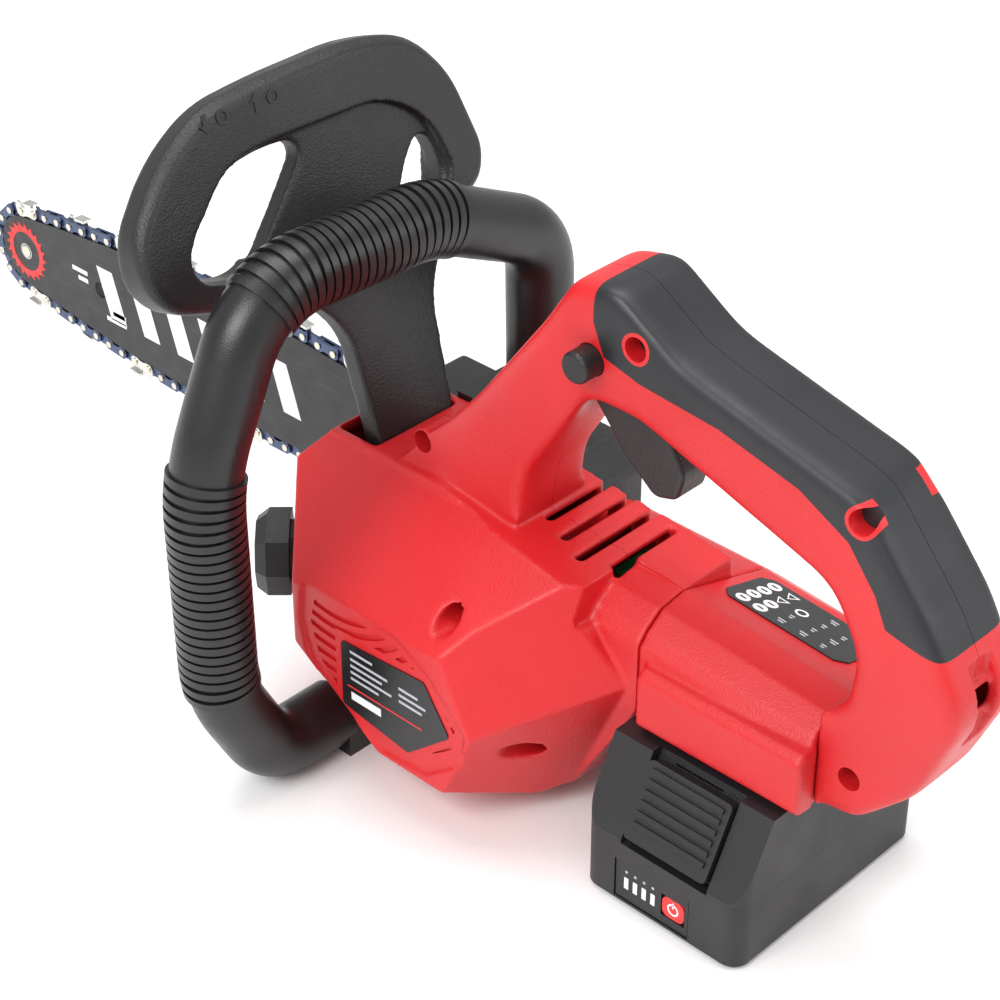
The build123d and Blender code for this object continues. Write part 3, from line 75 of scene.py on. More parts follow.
# ---------- small node helpers ----------
class Tree:
    """Short names for building one procedural material."""

    def __init__(self, name):
        self.material = bpy.data.materials.new(name)
        self.material.use_nodes = True
        self.tree = self.material.node_tree
        self.bsdf = self.tree.nodes["Principled BSDF"]
        self.coords = self.tree.nodes.new("ShaderNodeTexCoord").outputs["Object"]

    def link(self, source, target):
        self.tree.links.new(source, target)

    def noise(self, size, detail=3.0, rough=0.5):
        """Noise whose features are about size metres across."""
        node = self.tree.nodes.new("ShaderNodeTexNoise")
        node.inputs["Scale"].default_value = 1.0 / size
        node.inputs["Detail"].default_value = detail
        node.inputs["Roughness"].default_value = rough
        self.link(self.coords, node.inputs["Vector"])
        return node.outputs["Fac"]

    def cells(self, size):
        """Small rounded cells, as on a spark-eroded mould."""
        node = self.tree.nodes.new("ShaderNodeTexVoronoi")
        node.inputs["Scale"].default_value = 1.0 / size
        self.link(self.coords, node.inputs["Vector"])
        return node.outputs["Distance"]

    def streaks(self, scale, detail, stretch):
        """Noise drawn out along X, as on a brushed or rubbed surface."""
        mapping = self.tree.nodes.new("ShaderNodeMapping")
        mapping.inputs["Scale"].default_value = (stretch, 1.0, 1.0)
        self.link(self.coords, mapping.inputs["Vector"])
        node = self.tree.nodes.new("ShaderNodeTexNoise")
        node.inputs["Scale"].default_value = scale
        node.inputs["Detail"].default_value = detail
        self.link(mapping.outputs["Vector"], node.inputs["Vector"])
        return node.outputs["Fac"]

    def spread(self, source, low, high, from_low=0.3, from_high=0.7):
        """Map a texture value to a range."""
        node = self.tree.nodes.new("ShaderNodeMapRange")
        node.inputs["From Min"].default_value = from_low
        node.inputs["From Max"].default_value = from_high
        node.inputs["To Min"].default_value = low
        node.inputs["To Max"].default_value = high
        self.link(source, node.inputs["Value"])
        return node.outputs["Result"]

    def mix(self, factor, first, second):
        """Colour mix of two values that are each a colour tuple or a socket."""
        node = self.tree.nodes.new("ShaderNodeMix")
        node.data_type = "RGBA"
        self.link(factor, node.inputs["Factor"])
        for value, socket in ((first, node.inputs[6]), (second, node.inputs[7])):
            if isinstance(value, tuple):
                socket.default_value = (*value, 1.0)
            else:
                self.link(value, socket)
        return node.outputs[2]

    def add(self, first, second):
        node = self.tree.nodes.new("ShaderNodeMath")
        node.operation = "ADD"
        self.link(first, node.inputs[0])
        self.link(second, node.inputs[1])
        return node.outputs[0]

    def bump(self, height, distance, strength=1.0):
        node = self.tree.nodes.new("ShaderNodeBump")
        node.inputs["Distance"].default_value = distance
        node.inputs["Strength"].default_value = strength
        self.link(height, node.inputs["Height"])
        self.link(node.outputs["Normal"], self.bsdf.inputs["Normal"])


def plastic(name, colour, roughness, grain=0.0007, depth=0.00006, shade=0.82, gloss_spread=0.08):
    """Moulded plastic: fine spark-eroded grain, slight colour drift and handled patches."""
    t = Tree(name)
    drift = t.spread(t.noise(0.06, 4.0), 0.0, 1.0)
    dark = tuple(c * shade for c in colour)
    t.link(t.mix(drift, dark, colour), t.bsdf.inputs["Base Color"])
    patches = t.spread(t.noise(0.035, 5.0, 0.6), roughness - gloss_spread, roughness + gloss_spread)
    t.link(patches, t.bsdf.inputs["Roughness"])
    t.bump(t.add(t.cells(grain), t.noise(grain * 0.6, 2.0)), depth)
    return t.material


def metal(name, colour, roughness, scratch=0.0004, depth=0.00002, dirt=(0.05, 0.045, 0.04), dirt_amount=0.35):
    """Metal with a fine brushed lay, uneven polish and a little dirt in patches."""
    t = Tree(name)
    t.bsdf.inputs["Metallic"].default_value = 1.0
    grime = t.spread(t.noise(0.006, 6.0, 0.7), 0.0, dirt_amount, 0.45, 0.75)
    t.link(t.mix(grime, colour, dirt), t.bsdf.inputs["Base Color"])
    t.link(t.spread(t.noise(0.004, 5.0), roughness - 0.08, roughness + 0.12), t.bsdf.inputs["Roughness"])
    t.bump(t.streaks(1.0 / scratch, 2.0, 0.08), depth)
    return t.material


def painted_steel():
    """Satin black bar paint, rubbed to bright steel in fine streaks along the bar."""
    t = Tree("bar_paint")
    rubbed = t.spread(t.streaks(700.0, 4.0, 0.05), 0.0, 0.25, 0.55, 0.8)
    t.link(t.mix(rubbed, (0.014, 0.014, 0.016), (0.10, 0.10, 0.10)), t.bsdf.inputs["Base Color"])
    t.link(t.spread(t.noise(0.01, 4.0), 0.38, 0.52), t.bsdf.inputs["Roughness"])
    t.bump(t.noise(0.0005, 3.0), 0.00002)
    return t.material


def print_ink(name, colour):
    """Screen-printed ink: slightly uneven cover."""
    t = Tree(name)
    wear = t.spread(t.noise(0.0012, 5.0, 0.7), 0.0, 0.35, 0.55, 0.8)
    worn = tuple(c * 0.6 for c in colour)
    t.link(t.mix(wear, colour, worn), t.bsdf.inputs["Base Color"])
    t.link(t.spread(t.noise(0.004), 0.42, 0.6), t.bsdf.inputs["Roughness"])
    t.bump(t.noise(0.0004, 2.0), 0.00001)
    return t.material


RED = plastic("red_abs", (0.62, 0.012, 0.016), 0.4, grain=0.0008, depth=0.00009, shade=0.88)
BLACK = plastic("black_abs", (0.012, 0.012, 0.013), 0.42, grain=0.0009, depth=0.00012)
SOFT = plastic("grip_rubber", (0.012, 0.013, 0.016), 0.46, grain=0.0005, depth=0.00004, gloss_spread=0.12)
PACK = plastic("pack_plastic", (0.013, 0.013, 0.015), 0.46, grain=0.0007, depth=0.00008)
HANDLE = plastic("handle_nylon", (0.010, 0.010, 0.011), 0.34, grain=0.0006, depth=0.00004)
FILM = plastic("label_film", (0.012, 0.012, 0.013), 0.3, grain=0.002, depth=0.00001)
TANK = plastic("tank_plastic", (0.7, 0.7, 0.64), 0.4)
WRAP = plastic("cell_wrap", (0.05, 0.3, 0.25), 0.3)
BOARD = plastic("solder_mask", (0.02, 0.16, 0.05), 0.35)
BAR_PAINT = painted_steel()
BLUED = metal("blued_steel", (0.10, 0.13, 0.22), 0.34)
CHROME = metal("cutter_chrome", (0.72, 0.71, 0.68), 0.22, dirt_amount=0.2)
RIVET = metal("rivet_steel", (0.78, 0.72, 0.6), 0.26)
STEEL = metal("machined_steel", (0.55, 0.55, 0.54), 0.3)
ALLOY = metal("cast_alloy", (0.6, 0.6, 0.62), 0.5)
COPPER = metal("copper", (0.8, 0.45, 0.25), 0.3)
WHITE_INK = print_ink("white_ink", (0.8, 0.8, 0.82))
GREY_INK = print_ink("grey_ink", (0.45, 0.46, 0.5))
RED_INK = print_ink("red_ink", (0.72, 0.03, 0.03))

SLOT_MATERIALS = {
    "housing_red": RED, "black_plastic": BLACK, "grip_rubber": SOFT, "battery_black": PACK,
    "bar_steel": BAR_PAINT, "link_steel": BLUED, "cutter_chrome": CHROME, "rivet_steel": RIVET,
    "machined_steel": STEEL, "zinc_steel": STEEL, "cast_alloy": ALLOY, "magnet": ALLOY,
    "copper": COPPER, "cell_wrap": WRAP, "board_green": BOARD, "tank_white": TANK,
    "seal_rubber": SOFT, "label_print": FILM,
}
for part in frame["record"]["subparts"]:
    mesh = nodes[part["node"]].data
    mesh.materials.clear()
    mesh.materials.append(SLOT_MATERIALS[part["material_slot"]])
nodes["front_handle"].data.materials[0] = HANDLE
nodes["gauge_button"].data.materials[0] = RED_INK


# ---------- mesh helpers ----------
PRINT_LIFT = 0.00012


def new_object(name, mesh, material, body):
    obj = bpy.data.objects.new(name, mesh)
    bpy.context.scene.collection.objects.link(obj)
    mesh.materials.append(material)
    if body:
        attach(obj, body)
    return obj


def soften(obj, width, segments=3, angle=32):
    """Rounded moulded edges."""
    bevel = obj.modifiers.new("edge_radius", "BEVEL")
    bevel.width = width
    bevel.segments = segments
    bevel.limit_method = "ANGLE"
    bevel.angle_limit = math.radians(angle)
    bevel.use_clamp_overlap = True
    bevel.harden_normals = False
    shade(obj)


def shade(obj):
    """Smooth shading with hard edges kept where the surface turns sharply."""
    obj.data.shade_smooth()
    normals = obj.modifiers.new("weighted", "WEIGHTED_NORMAL")
    normals.keep_sharp = True


def remould(obj, voxel, rounds):
    """Rebuild a shell as an even skin and relax it, which gives the soft edges of a moulding."""
    remesh = obj.modifiers.new("skin", "REMESH")
    remesh.mode = "VOXEL"
    remesh.voxel_size = voxel
    remesh.use_smooth_shade = True
    relax = obj.modifiers.new("relax", "SMOOTH")
    relax.factor = 0.5
    relax.iterations = rounds


def loop_faces(build, loops):
    """Quads from each closed loop of vertices to the next; all loops have the same number of vertices."""
    for first, second in zip(loops, loops[1:]):
        for i in range(len(first)):
            j = (i + 1) % len(first)
            build.faces.new((first[i], first[j], second[j], second[i]))


def finished(build, name):
    """Mesh of a bmesh with its faces turned outwards."""
    bmesh.ops.recalc_face_normals(build, faces=build.faces)
    mesh = bpy.data.meshes.new(name)
    build.to_mesh(mesh)
    build.free()
    return mesh


def circle_points(cx, cy, radius, count=48):
    return [(cx + radius * math.cos(2 * math.pi * k / count), cy + radius * math.sin(2 * math.pi * k / count))
            for k in range(count)]


def flat_patch(name, outline, place, material, body, thickness=PRINT_LIFT):
    """Thin raised print: a flat outline of (u, v) points put on a surface by place(u, v, lift)."""
    build = bmesh.new()
    top = [build.verts.new(place(u, v, thickness)) for u, v in outline]
    low = [build.verts.new(place(u, v, -thickness)) for u, v in outline]
    build.faces.new(top)
    loop_faces(build, (low, top))
    return new_object(name, finished(build, name), material, body)


def ring_patch(name, inner, outer, place, material, body, thickness=PRINT_LIFT):
    """Thin printed ring between two closed outlines with the same number of points."""
    build = bmesh.new()
    section = ((inner, -thickness), (inner, thickness), (outer, thickness), (outer, -thickness))
    loop_faces(build, [[build.verts.new(place(u, v, lift)) for u, v in line] for line, lift in section])
    return new_object(name, finished(build, name), material, body)


# ---------- red housings and rubber grips ----------
# The two halves and the grips are relaxed together, so that the rear handle gets one continuous
# rounded section, and are then parted again along the seam and the edge of the grips.
# Outlines in this section are (X, Z) in millimetres.
SKIN = 0.0008
RELAX_ROUNDS = 13
GUARD_ROUNDS = 14
HANDLE_ROUNDS = 80
SEAM = 0.0001
GRIP_EDGE = [
    (-92, 240), (-92, 214), (-97, 202), (-113, 198), (-148, 195), (-182, 187), (-203, 176),
    (-215, 161), (-220, 150), (-270, 140), (-270, 240),
]
GRIP_SCREWS = [(-111.0, 210.5), (-206.5, 185.0)]
RECUT_SCREWS = GRIP_SCREWS + [(-211.7, 82.8), (-8.0, 129.0)]
LOCK_OFF_AT = (-91.0, 198.5)
HANDLE_FACE = 19.0
PLUG_FLOOR, RECESS_FLOOR, OUTSIDE = 5.5, 6, 31
SCREW_PLUG_R, SCREW_RECESS_R, BOSS_R = 5.4, 4.6, 6.0
BUTTON_PLUG_R, BUTTON_RECESS_R = 6.8, 6.3
BOSS_SPANS = ((12, OUTSIDE), (-OUTSIDE, -12))


def prism(points, y0, y1):
    """Closed prism from an (X, Z) outline in millimetres, between two Y values."""
    build = bmesh.new()
    near = [build.verts.new((x * MM, y0 * MM, z * MM)) for x, z in points]
    far = [build.verts.new((x * MM, y1 * MM, z * MM)) for x, z in points]
    build.faces.new(near)
    build.faces.new(far)
    loop_faces(build, (near, far))
    return finished(build, "prism")


def ring_prism(x, z, inner, outer, y0, y1, count=96):
    """Closed ring about the Y direction, in millimetres."""
    build = bmesh.new()
    loops = []
    for radius, y in ((inner, y0), (outer, y0), (outer, y1), (inner, y1)):
        outline = circle_points(x, z, radius, count)
        loops.append([build.verts.new((u * MM, y * MM, v * MM)) for u, v in outline])
    loop_faces(build, loops + loops[:1])
    return finished(build, "ring")


def temporary(mesh):
    obj = bpy.data.objects.new("temporary", mesh)
    bpy.context.scene.collection.objects.link(obj)
    return obj


def baked(obj, helpers=()):
    """Mesh of obj with its modifiers applied; obj and its helpers are then removed."""
    graph = bpy.context.evaluated_depsgraph_get()
    mesh = bpy.data.meshes.new_from_object(obj.evaluated_get(graph))
    for used in (obj, *helpers):
        bpy.data.objects.remove(used)
    return mesh


def cut(mesh, steps):
    """Apply a list of (operation, cutter mesh) booleans to a mesh."""
    obj = temporary(mesh)
    helpers = []
    for operation, cutter in steps:
        helper = temporary(cutter)
        helpers.append(helper)
        boolean = obj.modifiers.new("cut", "BOOLEAN")
        boolean.operation = operation
        boolean.solver = "MANIFOLD"
        boolean.object = helper
    return baked(obj, helpers)


def joined(meshes, close_seam=False):
    """One mesh from several; the left half can be stretched over the seam so that the halves overlap."""
    build = bmesh.new()
    for mesh in meshes:
        build.from_mesh(mesh)
    for vert in build.verts:
        if close_seam and 0.0 < vert.co.y < 2 * SEAM:
            vert.co.y = -3 * SEAM
    mesh = bpy.data.meshes.new("joined")
    build.to_mesh(mesh)
    build.free()
    return mesh


def step_up(tree, value, low, high):
    """Smooth 0 to 1 ramp of a value."""
    node = tree.nodes.new("ShaderNodeMapRange")
    node.interpolation_type = "SMOOTHSTEP"
    node.inputs["From Min"].default_value = low
    node.inputs["From Max"].default_value = high
    tree.links.new(value, node.inputs["Value"])
    return node.outputs["Result"]


def combine(tree, operation, first, second):
    node = tree.nodes.new("ShaderNodeMath")
    node.operation = operation
    for socket, value in zip(node.inputs, (first, second)):
        if isinstance(value, float):
            socket.default_value = value
        else:
            tree.links.new(value, socket)
    return node.outputs[0]


# Places in metres over which the rounding fades in: up the handle, back from its front,
# behind the root, and away from the cord recess to the sides and to the front.
HANDLE_UP, HANDLE_BACK, ROOT_BACK = (0.116, 0.128), (-0.012, -0.030), (-0.199, -0.204)
RECESS_SIDE, RECESS_FRONT = (0.007, 0.010), (-0.240, -0.236)


def handle_rounding(rounds):
    """Node group that relaxes only the rear handle, and leaves the cord recess and the body alone."""
    tree = bpy.data.node_groups.new("handle_rounding", "GeometryNodeTree")
    tree.interface.new_socket("Geometry", in_out="INPUT", socket_type="NodeSocketGeometry")
    tree.interface.new_socket("Geometry", in_out="OUTPUT", socket_type="NodeSocketGeometry")
    entry = tree.nodes.new("NodeGroupInput")
    leave = tree.nodes.new("NodeGroupOutput")
    place = tree.nodes.new("GeometryNodeInputPosition")
    axes = tree.nodes.new("ShaderNodeSeparateXYZ")
    tree.links.new(place.outputs[0], axes.inputs[0])
    x, y, z = axes.outputs
    raised = combine(tree, "MULTIPLY", step_up(tree, z, *HANDLE_UP), step_up(tree, x, *HANDLE_BACK))
    root = step_up(tree, x, *ROOT_BACK)
    zone = combine(tree, "MAXIMUM", raised, root)
    off_middle = step_up(tree, combine(tree, "ABSOLUTE", y, 0.0), *RECESS_SIDE)
    off_back = step_up(tree, x, *RECESS_FRONT)
    beside_recess = combine(tree, "MAXIMUM", off_middle, off_back)
    weight = combine(tree, "MULTIPLY", zone, beside_recess)
    blur = tree.nodes.new("GeometryNodeBlurAttribute")
    blur.data_type = "FLOAT_VECTOR"
    blur.inputs["Iterations"].default_value = rounds
    value_socket = next(i for i in blur.inputs if i.enabled and i.name == "Value")
    tree.links.new(place.outputs[0], value_socket)
    tree.links.new(weight, blur.inputs["Weight"])
    move = tree.nodes.new("GeometryNodeSetPosition")
    tree.links.new(entry.outputs[0], move.inputs["Geometry"])
    blurred = next(o for o in blur.outputs if o.enabled)
    tree.links.new(blurred, move.inputs["Position"])
    tree.links.new(move.outputs["Geometry"], leave.inputs[0])
    return tree


PANEL_FLOOR = [
    (3, 81), (-43, 80), (-58, 71.5), (-75, 55), (-72.5, 42),
    (-56.5, 29), (-35, 27), (-12, 37.5), (2, 50.5), (6, 66),
]
PANEL_FLOOR_Y = (66.2, 68.4)
LOUVRE_FIELD = [
    (1, 79), (-42, 78), (-56, 70), (-73, 54), (-70, 43),
    (-55, 31), (-35, 29.5), (-13, 39), (0, 51.5), (4, 66),
]
LABEL_FIELD = [(-9.5, 69.5), (-58.5, 72.5), (-74, 49.5), (-49, 27.5), (-9.5, 33)]
LOUVRE_AT, LOUVRE_Y = (-8.0, 118.0), (67.2, 69.5)
LOUVRE_FIRST, LOUVRE_PITCH, LOUVRE_WIDTH, LOUVRE_COUNT = 36.5, 5.2, 2.5, 14
SLOT_END = [(-97, 90), (-93.6, 90), (-93.6, 110.2), (-97, 110)]
SLOT_END_Y = (10.0, 21.6)


def louvre_cutter():
    """Concentric slots over the panel floor, kept clear of the data label."""
    rings = []
    for k in range(LOUVRE_COUNT):
        inner = LOUVRE_FIRST + LOUVRE_PITCH * k
        rings.append(ring_prism(*LOUVRE_AT, inner, inner + LOUVRE_WIDTH, *LOUVRE_Y))
    return cut(joined(rings), [
        ("INTERSECT", prism(LOUVRE_FIELD, 60, 75)),
        ("DIFFERENCE", prism(LABEL_FIELD, 59, 76)),
    ])


def relaxed_body():
    """Both halves and both grips as one skin, with small holes filled until it has been relaxed."""
    plugs = [prism(circle_points(x, z, SCREW_PLUG_R), PLUG_FLOOR, HANDLE_FACE) for x, z in RECUT_SCREWS]
    plugs.append(prism(PANEL_FLOOR, *PANEL_FLOOR_Y))
    plugs.append(prism(SLOT_END, *SLOT_END_Y))
    plugs.append(prism(circle_points(*LOCK_OFF_AT, BUTTON_PLUG_R), PLUG_FLOOR, HANDLE_FACE))
    halves = [nodes[n].data for n in ("left_housing", "right_housing", "rear_grip_left", "rear_grip_right")]
    skin = temporary(joined(halves + plugs, True))
    remould(skin, SKIN, RELAX_ROUNDS)
    rounding = skin.modifiers.new("rounding", "NODES")
    rounding.node_group = handle_rounding(HANDLE_ROUNDS)
    return baked(skin)


body_skin = relaxed_body()
grip_zone = cut(prism(GRIP_EDGE, -30, 30), [
    ("DIFFERENCE", prism(circle_points(x, z, BOSS_R), *span)) for x, z in GRIP_SCREWS for span in BOSS_SPANS
])
recesses = [
    ("DIFFERENCE", prism(circle_points(x, z, SCREW_RECESS_R), RECESS_FLOOR, OUTSIDE))
    for x, z in RECUT_SCREWS
]
recesses.append(("DIFFERENCE", prism(circle_points(*LOCK_OFF_AT, BUTTON_RECESS_R), RECESS_FLOOR, OUTSIDE)))
recesses.append(("DIFFERENCE", louvre_cutter()))
ALL_ROUND = [(-300, -20), (100, -20), (100, 300), (-300, 300)]
for side, y0, y1, holes in (("left", SEAM / MM, 100, recesses), ("right", -100, -SEAM / MM, [])):
    half_zone = ("INTERSECT", prism(ALL_ROUND, y0, y1))
    housing = cut(body_skin.copy(), [half_zone, ("DIFFERENCE", grip_zone.copy()), *holes])
    grip = cut(body_skin.copy(), [half_zone, ("INTERSECT", grip_zone.copy())])
    for mesh, material, node, slot_name in ((housing, RED, f"{side}_housing", "housing_red"),
                                            (grip, SOFT, f"rear_grip_{side}", "grip_rubber")):
        mesh.materials.clear()
        mesh.shade_smooth()
        mesh.set_sharp_from_angle(angle=math.radians(38))
        shell = new_object(f"{node}_skin", mesh, material, "chassis")
        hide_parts(node)

# ---------- other mouldings and metal parts ----------
remould(nodes["battery_dock"], SKIN, RELAX_ROUNDS)
remould(nodes["hand_guard"], SKIN, GUARD_ROUNDS)
MOULDED_EDGES = {
    "battery_case_lower": 0.0008, "battery_case_upper": 0.0008, "battery_latch": 0.0006, "oil_cap": 0.0012,
    "sprocket_cover": 0.0008, "cover_knob": 0.0005, "trigger": 0.0006, "gauge_panel": 0.0004,
}
PRESSED_PARTS = (
    "guide_bar", "chain_drive_links", "chain_tie_straps", "chain_cutters_left", "chain_cutters_right",
)
for name, width in MOULDED_EDGES.items():
    soften(nodes[name], width)
for name in PRESSED_PARTS:
    soften(nodes[name], 0.00015, 1, 50)
for name in ("chain_rivets", "nose_rivet", "nose_sprocket", "lock_off_button"):
    soften(nodes[name], 0.0003, 2, 50)


# ---------- wound springs behind the trigger and the lock-off button ----------
def coil(node, axis, turns=6.0, wire=0.0003, steps=24, sides=8):
    """Wound spring that fills the box of a CAD spring along one axis (1 is Y, 2 is Z)."""
    low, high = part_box(node)
    middle = [(a + b) / 2 for a, b in zip(low, high)]
    side_a, side_b = (0, 2) if axis == 1 else (0, 1)
    radius = (high[side_a] - low[side_a]) / 2 - wire
    start, length = low[axis] + wire, high[axis] - low[axis] - 2 * wire
    build = bmesh.new()
    loops = []
    count = int(turns * steps)
    for k in range(count + 1):
        angle = 2 * math.pi * k / steps
        loop = []
        for n in range(sides):
            around = 2 * math.pi * n / sides
            reach = radius + wire * math.cos(around)
            point = [0.0, 0.0, 0.0]
            point[side_a] = middle[side_a] + reach * math.cos(angle)
            point[side_b] = middle[side_b] + reach * math.sin(angle)
            point[axis] = start + length * k / count + wire * math.sin(around)
            loop.append(build.verts.new(point))
        loops.append(loop)
    loop_faces(build, loops)
    build.faces.new(loops[0])
    build.faces.new(loops[-1])
    mesh = finished(build, f"{node}_wire")
    mesh.shade_smooth()
    spring = new_object(f"{node}_wire", mesh, STEEL, "chassis")
    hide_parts(node)
    return spring


for node, joint, axis, anchor_high, keep in (
    ("trigger_spring", "trigger_squeeze", 2, True, 0.62),
    ("lock_off_spring", "lock_off_press", 1, False, 0.36),
):
    spring = coil(node, axis)
    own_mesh(spring)


# ---------- print on the bar ----------
def on_bar(u, v, lift):
    """Point on the left face of the bar, u forward and v up from the bar axis."""
    return Vector((u, BAR_FACE_Y + lift, NOSE[1] + v))


def bar(name, u, v, width, height, place, material, body):
    """Printed rectangle from its lower left corner."""
    outline = [(u, v), (u + width, v), (u + width, v + height), (u, v + height)]
    return flat_patch(name, outline, place, material, body)


TEETH, SAW_INNER_R = 20, 0.0098
TOOTH_STEPS = ((0.0, 0.0125), (0.45, 0.0128), (0.9, 0.0150))
saw_outer = []
saw_inner = []
for k in range(TEETH):
    for step, radius in TOOTH_STEPS:
        angle = -2 * math.pi * (k + step) / TEETH
        saw_outer.append((NOSE[0] + radius * math.cos(angle), radius * math.sin(angle)))
        saw_inner.append((NOSE[0] + SAW_INNER_R * math.cos(angle), SAW_INNER_R * math.sin(angle)))
ring_patch("nose_print_ring", saw_inner, saw_outer, on_bar, RED_INK, "chassis")
rivet_ring = [circle_points(NOSE[0], 0, radius, 32) for radius in (0.0033, 0.0040)]
ring_patch("nose_rivet_ring", *rivet_ring, on_bar, STEEL, "chassis")

STRIPES, STRIPE_START, STRIPE_PITCH = 6, 0.118, 0.0235
STRIPE_H, STRIPE_W, STRIPE_SLANT = 0.0125, 0.011, 0.008
for k in range(STRIPES):
    left = STRIPE_START + STRIPE_PITCH * k
    outline = [(left, -STRIPE_H), (left + STRIPE_W, -STRIPE_H), (left + STRIPE_W + STRIPE_SLANT, STRIPE_H),
               (left + STRIPE_SLANT, STRIPE_H)]
    flat_patch(f"bar_stripe_{k}", outline, on_bar, WHITE_INK, "chassis")

MARK_H = 0.0022
BAR_MARKS = ((0.262, 0.004, 0.011), (0.262, 0.000, 0.007), (0.236, -0.010, 0.009), (0.236, -0.014, 0.014))
for k, (left, bottom, width) in enumerate(BAR_MARKS):
    bar(f"bar_mark_{k}", left, bottom, width, MARK_H, on_bar, WHITE_INK, "chassis")

# ---------- generic pictures on the icon label ----------
def surface(origin, across, up):
    """Placing function for a flat face from a point on it and two directions in it (metres)."""
    origin, across, up = Vector(origin), Vector(across).normalized(), Vector(up).normalized()
    normal = across.cross(up)

    def place(u, v, lift):
        return origin + across * u + up * v + normal * lift

    return place


def disc(name, u, v, radius, place, material, body):
    return flat_patch(name, circle_points(u, v, radius, 28), place, material, body)


def scaled(points, cu, cv, size):
    return [(cu + u * size, cv + v * size) for u, v in points]


TRIANGLE = [(-0.9, -0.6), (0.9, -0.6), (0.0, 0.95)]
LABEL_UP = Vector((-0.081, -0.295, 0.952)).normalized()
LABEL_ALONG = Vector((1.0, 0.0, 0.0855)).normalized()
LABEL_THICK = 1.2
LABEL_TOP = Vector((-155.0, -27.0, 95.6)) * MM + LABEL_UP * LABEL_THICK * MM
LABEL_ACROSS = LABEL_UP.cross(LABEL_ALONG)
OVERPRINT = 0.00008
on_label = surface(LABEL_TOP, LABEL_ALONG, LABEL_ACROSS)
over_label = surface(LABEL_TOP + LABEL_UP * OVERPRINT, LABEL_ALONG, LABEL_ACROSS)
# Each row: its place along the label, then its signs from side to side. The signs are
# o a disc with a dash, ^ a triangle, r a ring, x two long bars and . two short ones.
ICON_ROWS = ((0.0205, "oooo"), (0.0125, "oo^^"), (0.003, "x.r"), (-0.007, "x..x"), (-0.016, ".x."))
ICON_FIRST, ICON_PITCH = 0.0105, 0.0068
DISC_R, RING_R, TRIANGLE_R = 0.0029, (0.0018, 0.0027), (0.0021, 0.0031)
DASH_W, DASH_H, LINE_H = 0.0028, 0.001, 0.0008
LINE_WIDTHS = {"x": 0.0036, ".": 0.0022}
for row, (along, kinds) in enumerate(ICON_ROWS):
    for k, kind in enumerate(kinds):
        across = ICON_FIRST - ICON_PITCH * k
        name = f"icon_{row}_{k}"
        if kind == "o":
            disc(name, along, across, DISC_R, on_label, WHITE_INK, "chassis")
            bar(f"{name}_mark", along - 0.0014, across - 0.0005, DASH_W, DASH_H, over_label, FILM, "chassis")
        elif kind == "^":
            outlines = [scaled(TRIANGLE, along, across, size) for size in TRIANGLE_R]
            ring_patch(name, *outlines, on_label, WHITE_INK, "chassis")
        elif kind == "r":
            outlines = [circle_points(along, across, radius, 24) for radius in RING_R]
            ring_patch(name, *outlines, on_label, WHITE_INK, "chassis")
        else:
            width = LINE_WIDTHS[kind]
            start = along - width / 2
            bar(name, start, across - 0.0012, width, LINE_H, on_label, GREY_INK, "chassis")
            bar(f"{name}_low", start, across + 0.0006, width * 0.7, LINE_H, on_label, GREY_INK, "chassis")

# ---------- lines on the data label ----------
DATA_FACE_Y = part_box("data_label")[1][1]
on_data = surface((0.0, DATA_FACE_Y, 0.0), (-1, 0, 0), (0, 0, 1))
COLUMN_A, COLUMN_B, DATA_LINE_H = 0.018, 0.044, 0.0011
DATA_LINES = (
    (COLUMN_A, 0.0625, 0.012), (COLUMN_A, 0.0590, 0.020), (COLUMN_A, 0.0560, 0.017),
    (COLUMN_A, 0.0530, 0.022), (COLUMN_A, 0.0500, 0.015),
    (COLUMN_B, 0.0590, 0.010), (COLUMN_B, 0.0560, 0.014), (COLUMN_B, 0.0530, 0.012),
)
for k, (start, height, width) in enumerate(DATA_LINES):
    bar(f"data_line_{k}", start, height, width, DATA_LINE_H, on_data, GREY_INK, "chassis")
bar("data_block", COLUMN_A, 0.0405, 0.016, 0.0035, on_data, WHITE_INK, "chassis")
bar("data_rule", 0.016, 0.0460, 0.040, 0.0006, on_data, RED_INK, "chassis")

# ---------- charge gauge ----------
GAUGE_LOW, GAUGE_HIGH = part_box("gauge_panel")
BUTTON_LOW, BUTTON_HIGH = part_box("gauge_button")
on_gauge = surface((GAUGE_HIGH[0], GAUGE_HIGH[1], GAUGE_LOW[2]), (-1, 0, 0), (0, 0, 1))
LIGHTS, LIGHT_FIRST, LIGHT_PITCH = 4, 0.0040, 0.0042
for k in range(LIGHTS):
    left = LIGHT_FIRST + LIGHT_PITCH * k
    bar(f"gauge_light_{k}", left, 0.0052, 0.0020, 0.0052, on_gauge, WHITE_INK, "battery")
    disc(f"gauge_dot_{k}", left + 0.001, 0.0132, 0.0006, on_gauge, GREY_INK, "battery")
button_mid = ((BUTTON_LOW[0] + BUTTON_HIGH[0]) / 2, BUTTON_HIGH[1], (BUTTON_LOW[2] + BUTTON_HIGH[2]) / 2)
on_button = surface(button_mid, (-1, 0, 0), (0, 0, 1))
power_ring = [circle_points(0, 0, radius, 28) for radius in (0.0019, 0.0026)]
ring_patch("power_ring", *power_ring, on_button, WHITE_INK, "gauge_button")
bar("power_stroke", -0.0003, 0.0006, 0.0006, 0.0028, on_button, WHITE_INK, "gauge_button")

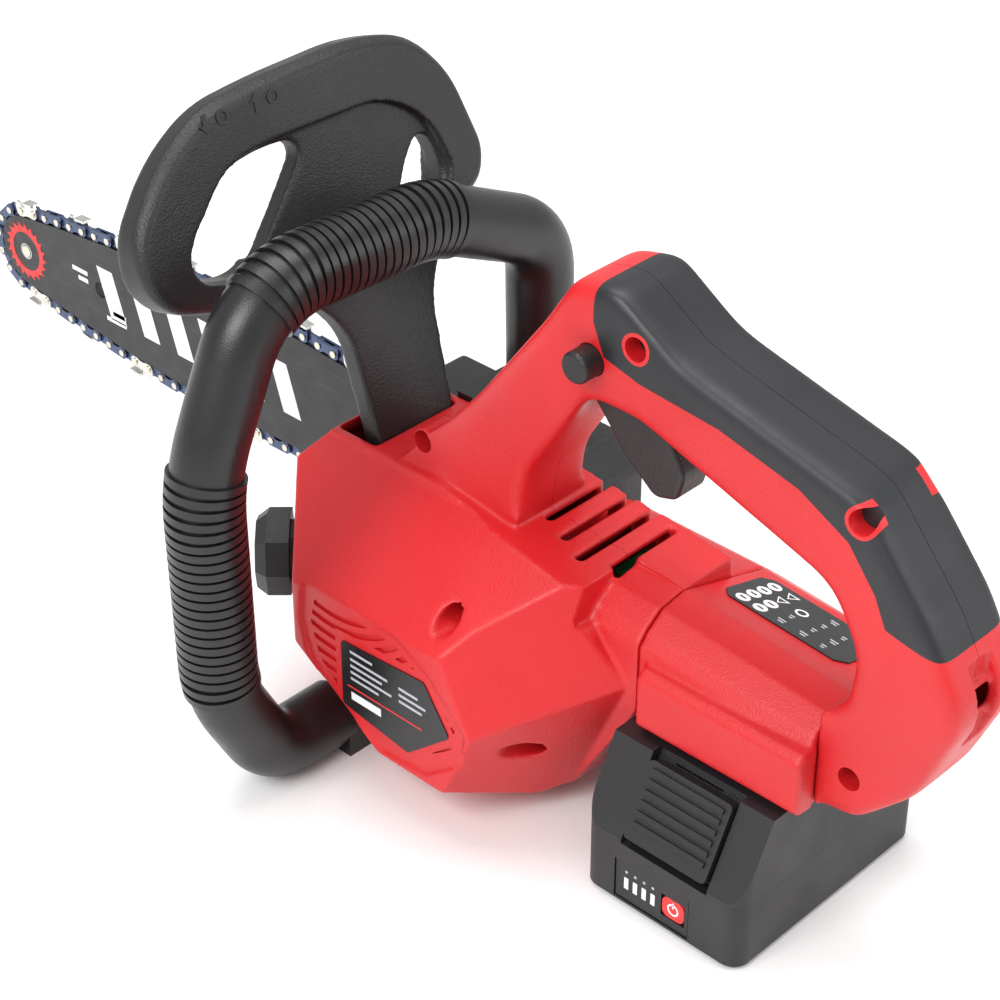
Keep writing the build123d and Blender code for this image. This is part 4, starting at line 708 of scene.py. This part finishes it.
# ---------- moulded arrows on the guard ----------
LEAN = 0.3
GUARD_BACK = Vector((-13.0, 0.0, 0.0)) * MM
guard_climb = Vector((LEAN, 0.0, 1.0)).normalized()
RIM_DEPTH = 8.5
rim_back = Vector((-1.0, 0.0, LEAN)).normalized() * RIM_DEPTH * MM
on_guard = surface(GUARD_BACK + rim_back, (0, -1, 0), guard_climb)
ARROW = [(-0.3, -1.0), (0.3, -1.0), (0.3, 0.2), (0.8, 0.2), (0.0, 1.1), (-0.8, 0.2), (-0.3, 0.2)]
ARROW_SIZE, ARROW_UP, MOULDED_LIFT = 0.0034, 0.2625, 0.0004
RING_AWAY, GUARD_RING_R = 0.008, (0.0018, 0.0028)
for k, (across, way) in enumerate(((-0.062, -1), (-0.038, 1))):
    outline = [(across + u * ARROW_SIZE, ARROW_UP + way * v * ARROW_SIZE) for u, v in ARROW]
    if way < 0:
        outline.reverse()
    flat_patch(f"guard_arrow_{k}", outline, on_guard, HANDLE, "guard", MOULDED_LIFT)
    ring = [circle_points(across + RING_AWAY, ARROW_UP, radius, 20) for radius in GUARD_RING_R]
    ring_patch(f"guard_ring_{k}", *ring, on_guard, HANDLE, "guard", MOULDED_LIFT)

# ---------- stage, light and camera ----------
centre = (Vector(cad_low) + Vector(cad_high)) / 2

floor_mesh = bpy.data.meshes.new("floor")
build = bmesh.new()
bmesh.ops.create_grid(build, x_segments=2, y_segments=2, size=6.0)
build.to_mesh(floor_mesh)
build.free()
floor = new_object("floor", floor_mesh, print_ink("paper_floor", (0.93, 0.93, 0.93)), None)

world = bpy.data.worlds.new("studio")
bpy.context.scene.world = world
world.use_nodes = True
background = world.node_tree.nodes["Background"]
background.inputs["Color"].default_value = (1.0, 1.0, 1.0, 1.0)
background.inputs["Strength"].default_value = 0.7


def softbox(name, place, size, power):
    """Large area light aimed at the middle of the object."""
    lamp = bpy.data.lights.new(name, "AREA")
    lamp.shape = "RECTANGLE"
    lamp.size, lamp.size_y = size
    lamp.energy = power
    obj = bpy.data.objects.new(name, lamp)
    bpy.context.scene.collection.objects.link(obj)
    obj.location = place
    obj.rotation_euler = (centre - Vector(place)).to_track_quat("-Z", "Y").to_euler()


softbox("key", (-0.2, 1.5, 1.5), (1.2, 0.9), 30)
softbox("top", (0.2, -0.2, 1.9), (1.6, 1.0), 22)
softbox("rear", (-1.7, -0.9, 1.1), (0.9, 1.2), 12)

CAMERA_PLACE = (-0.5796, 0.5752, 0.6343)
CAMERA_YAW, CAMERA_DOWN = math.radians(-46.31), math.radians(33.70)
camera_data = bpy.data.cameras.new("camera")
camera_data.lens = 90.5
camera_data.sensor_width = 36.0
camera_data.clip_start = 0.01
camera = bpy.data.objects.new("camera", camera_data)
bpy.context.scene.collection.objects.link(camera)
camera.location = CAMERA_PLACE
aim = Vector((math.cos(CAMERA_YAW) * math.cos(CAMERA_DOWN), math.sin(CAMERA_YAW) * math.cos(CAMERA_DOWN),
              -math.sin(CAMERA_DOWN)))
camera.rotation_euler = aim.to_track_quat("-Z", "Y").to_euler()
bpy.context.scene.camera = camera
bpy.context.scene.view_settings.view_transform = "Standard"
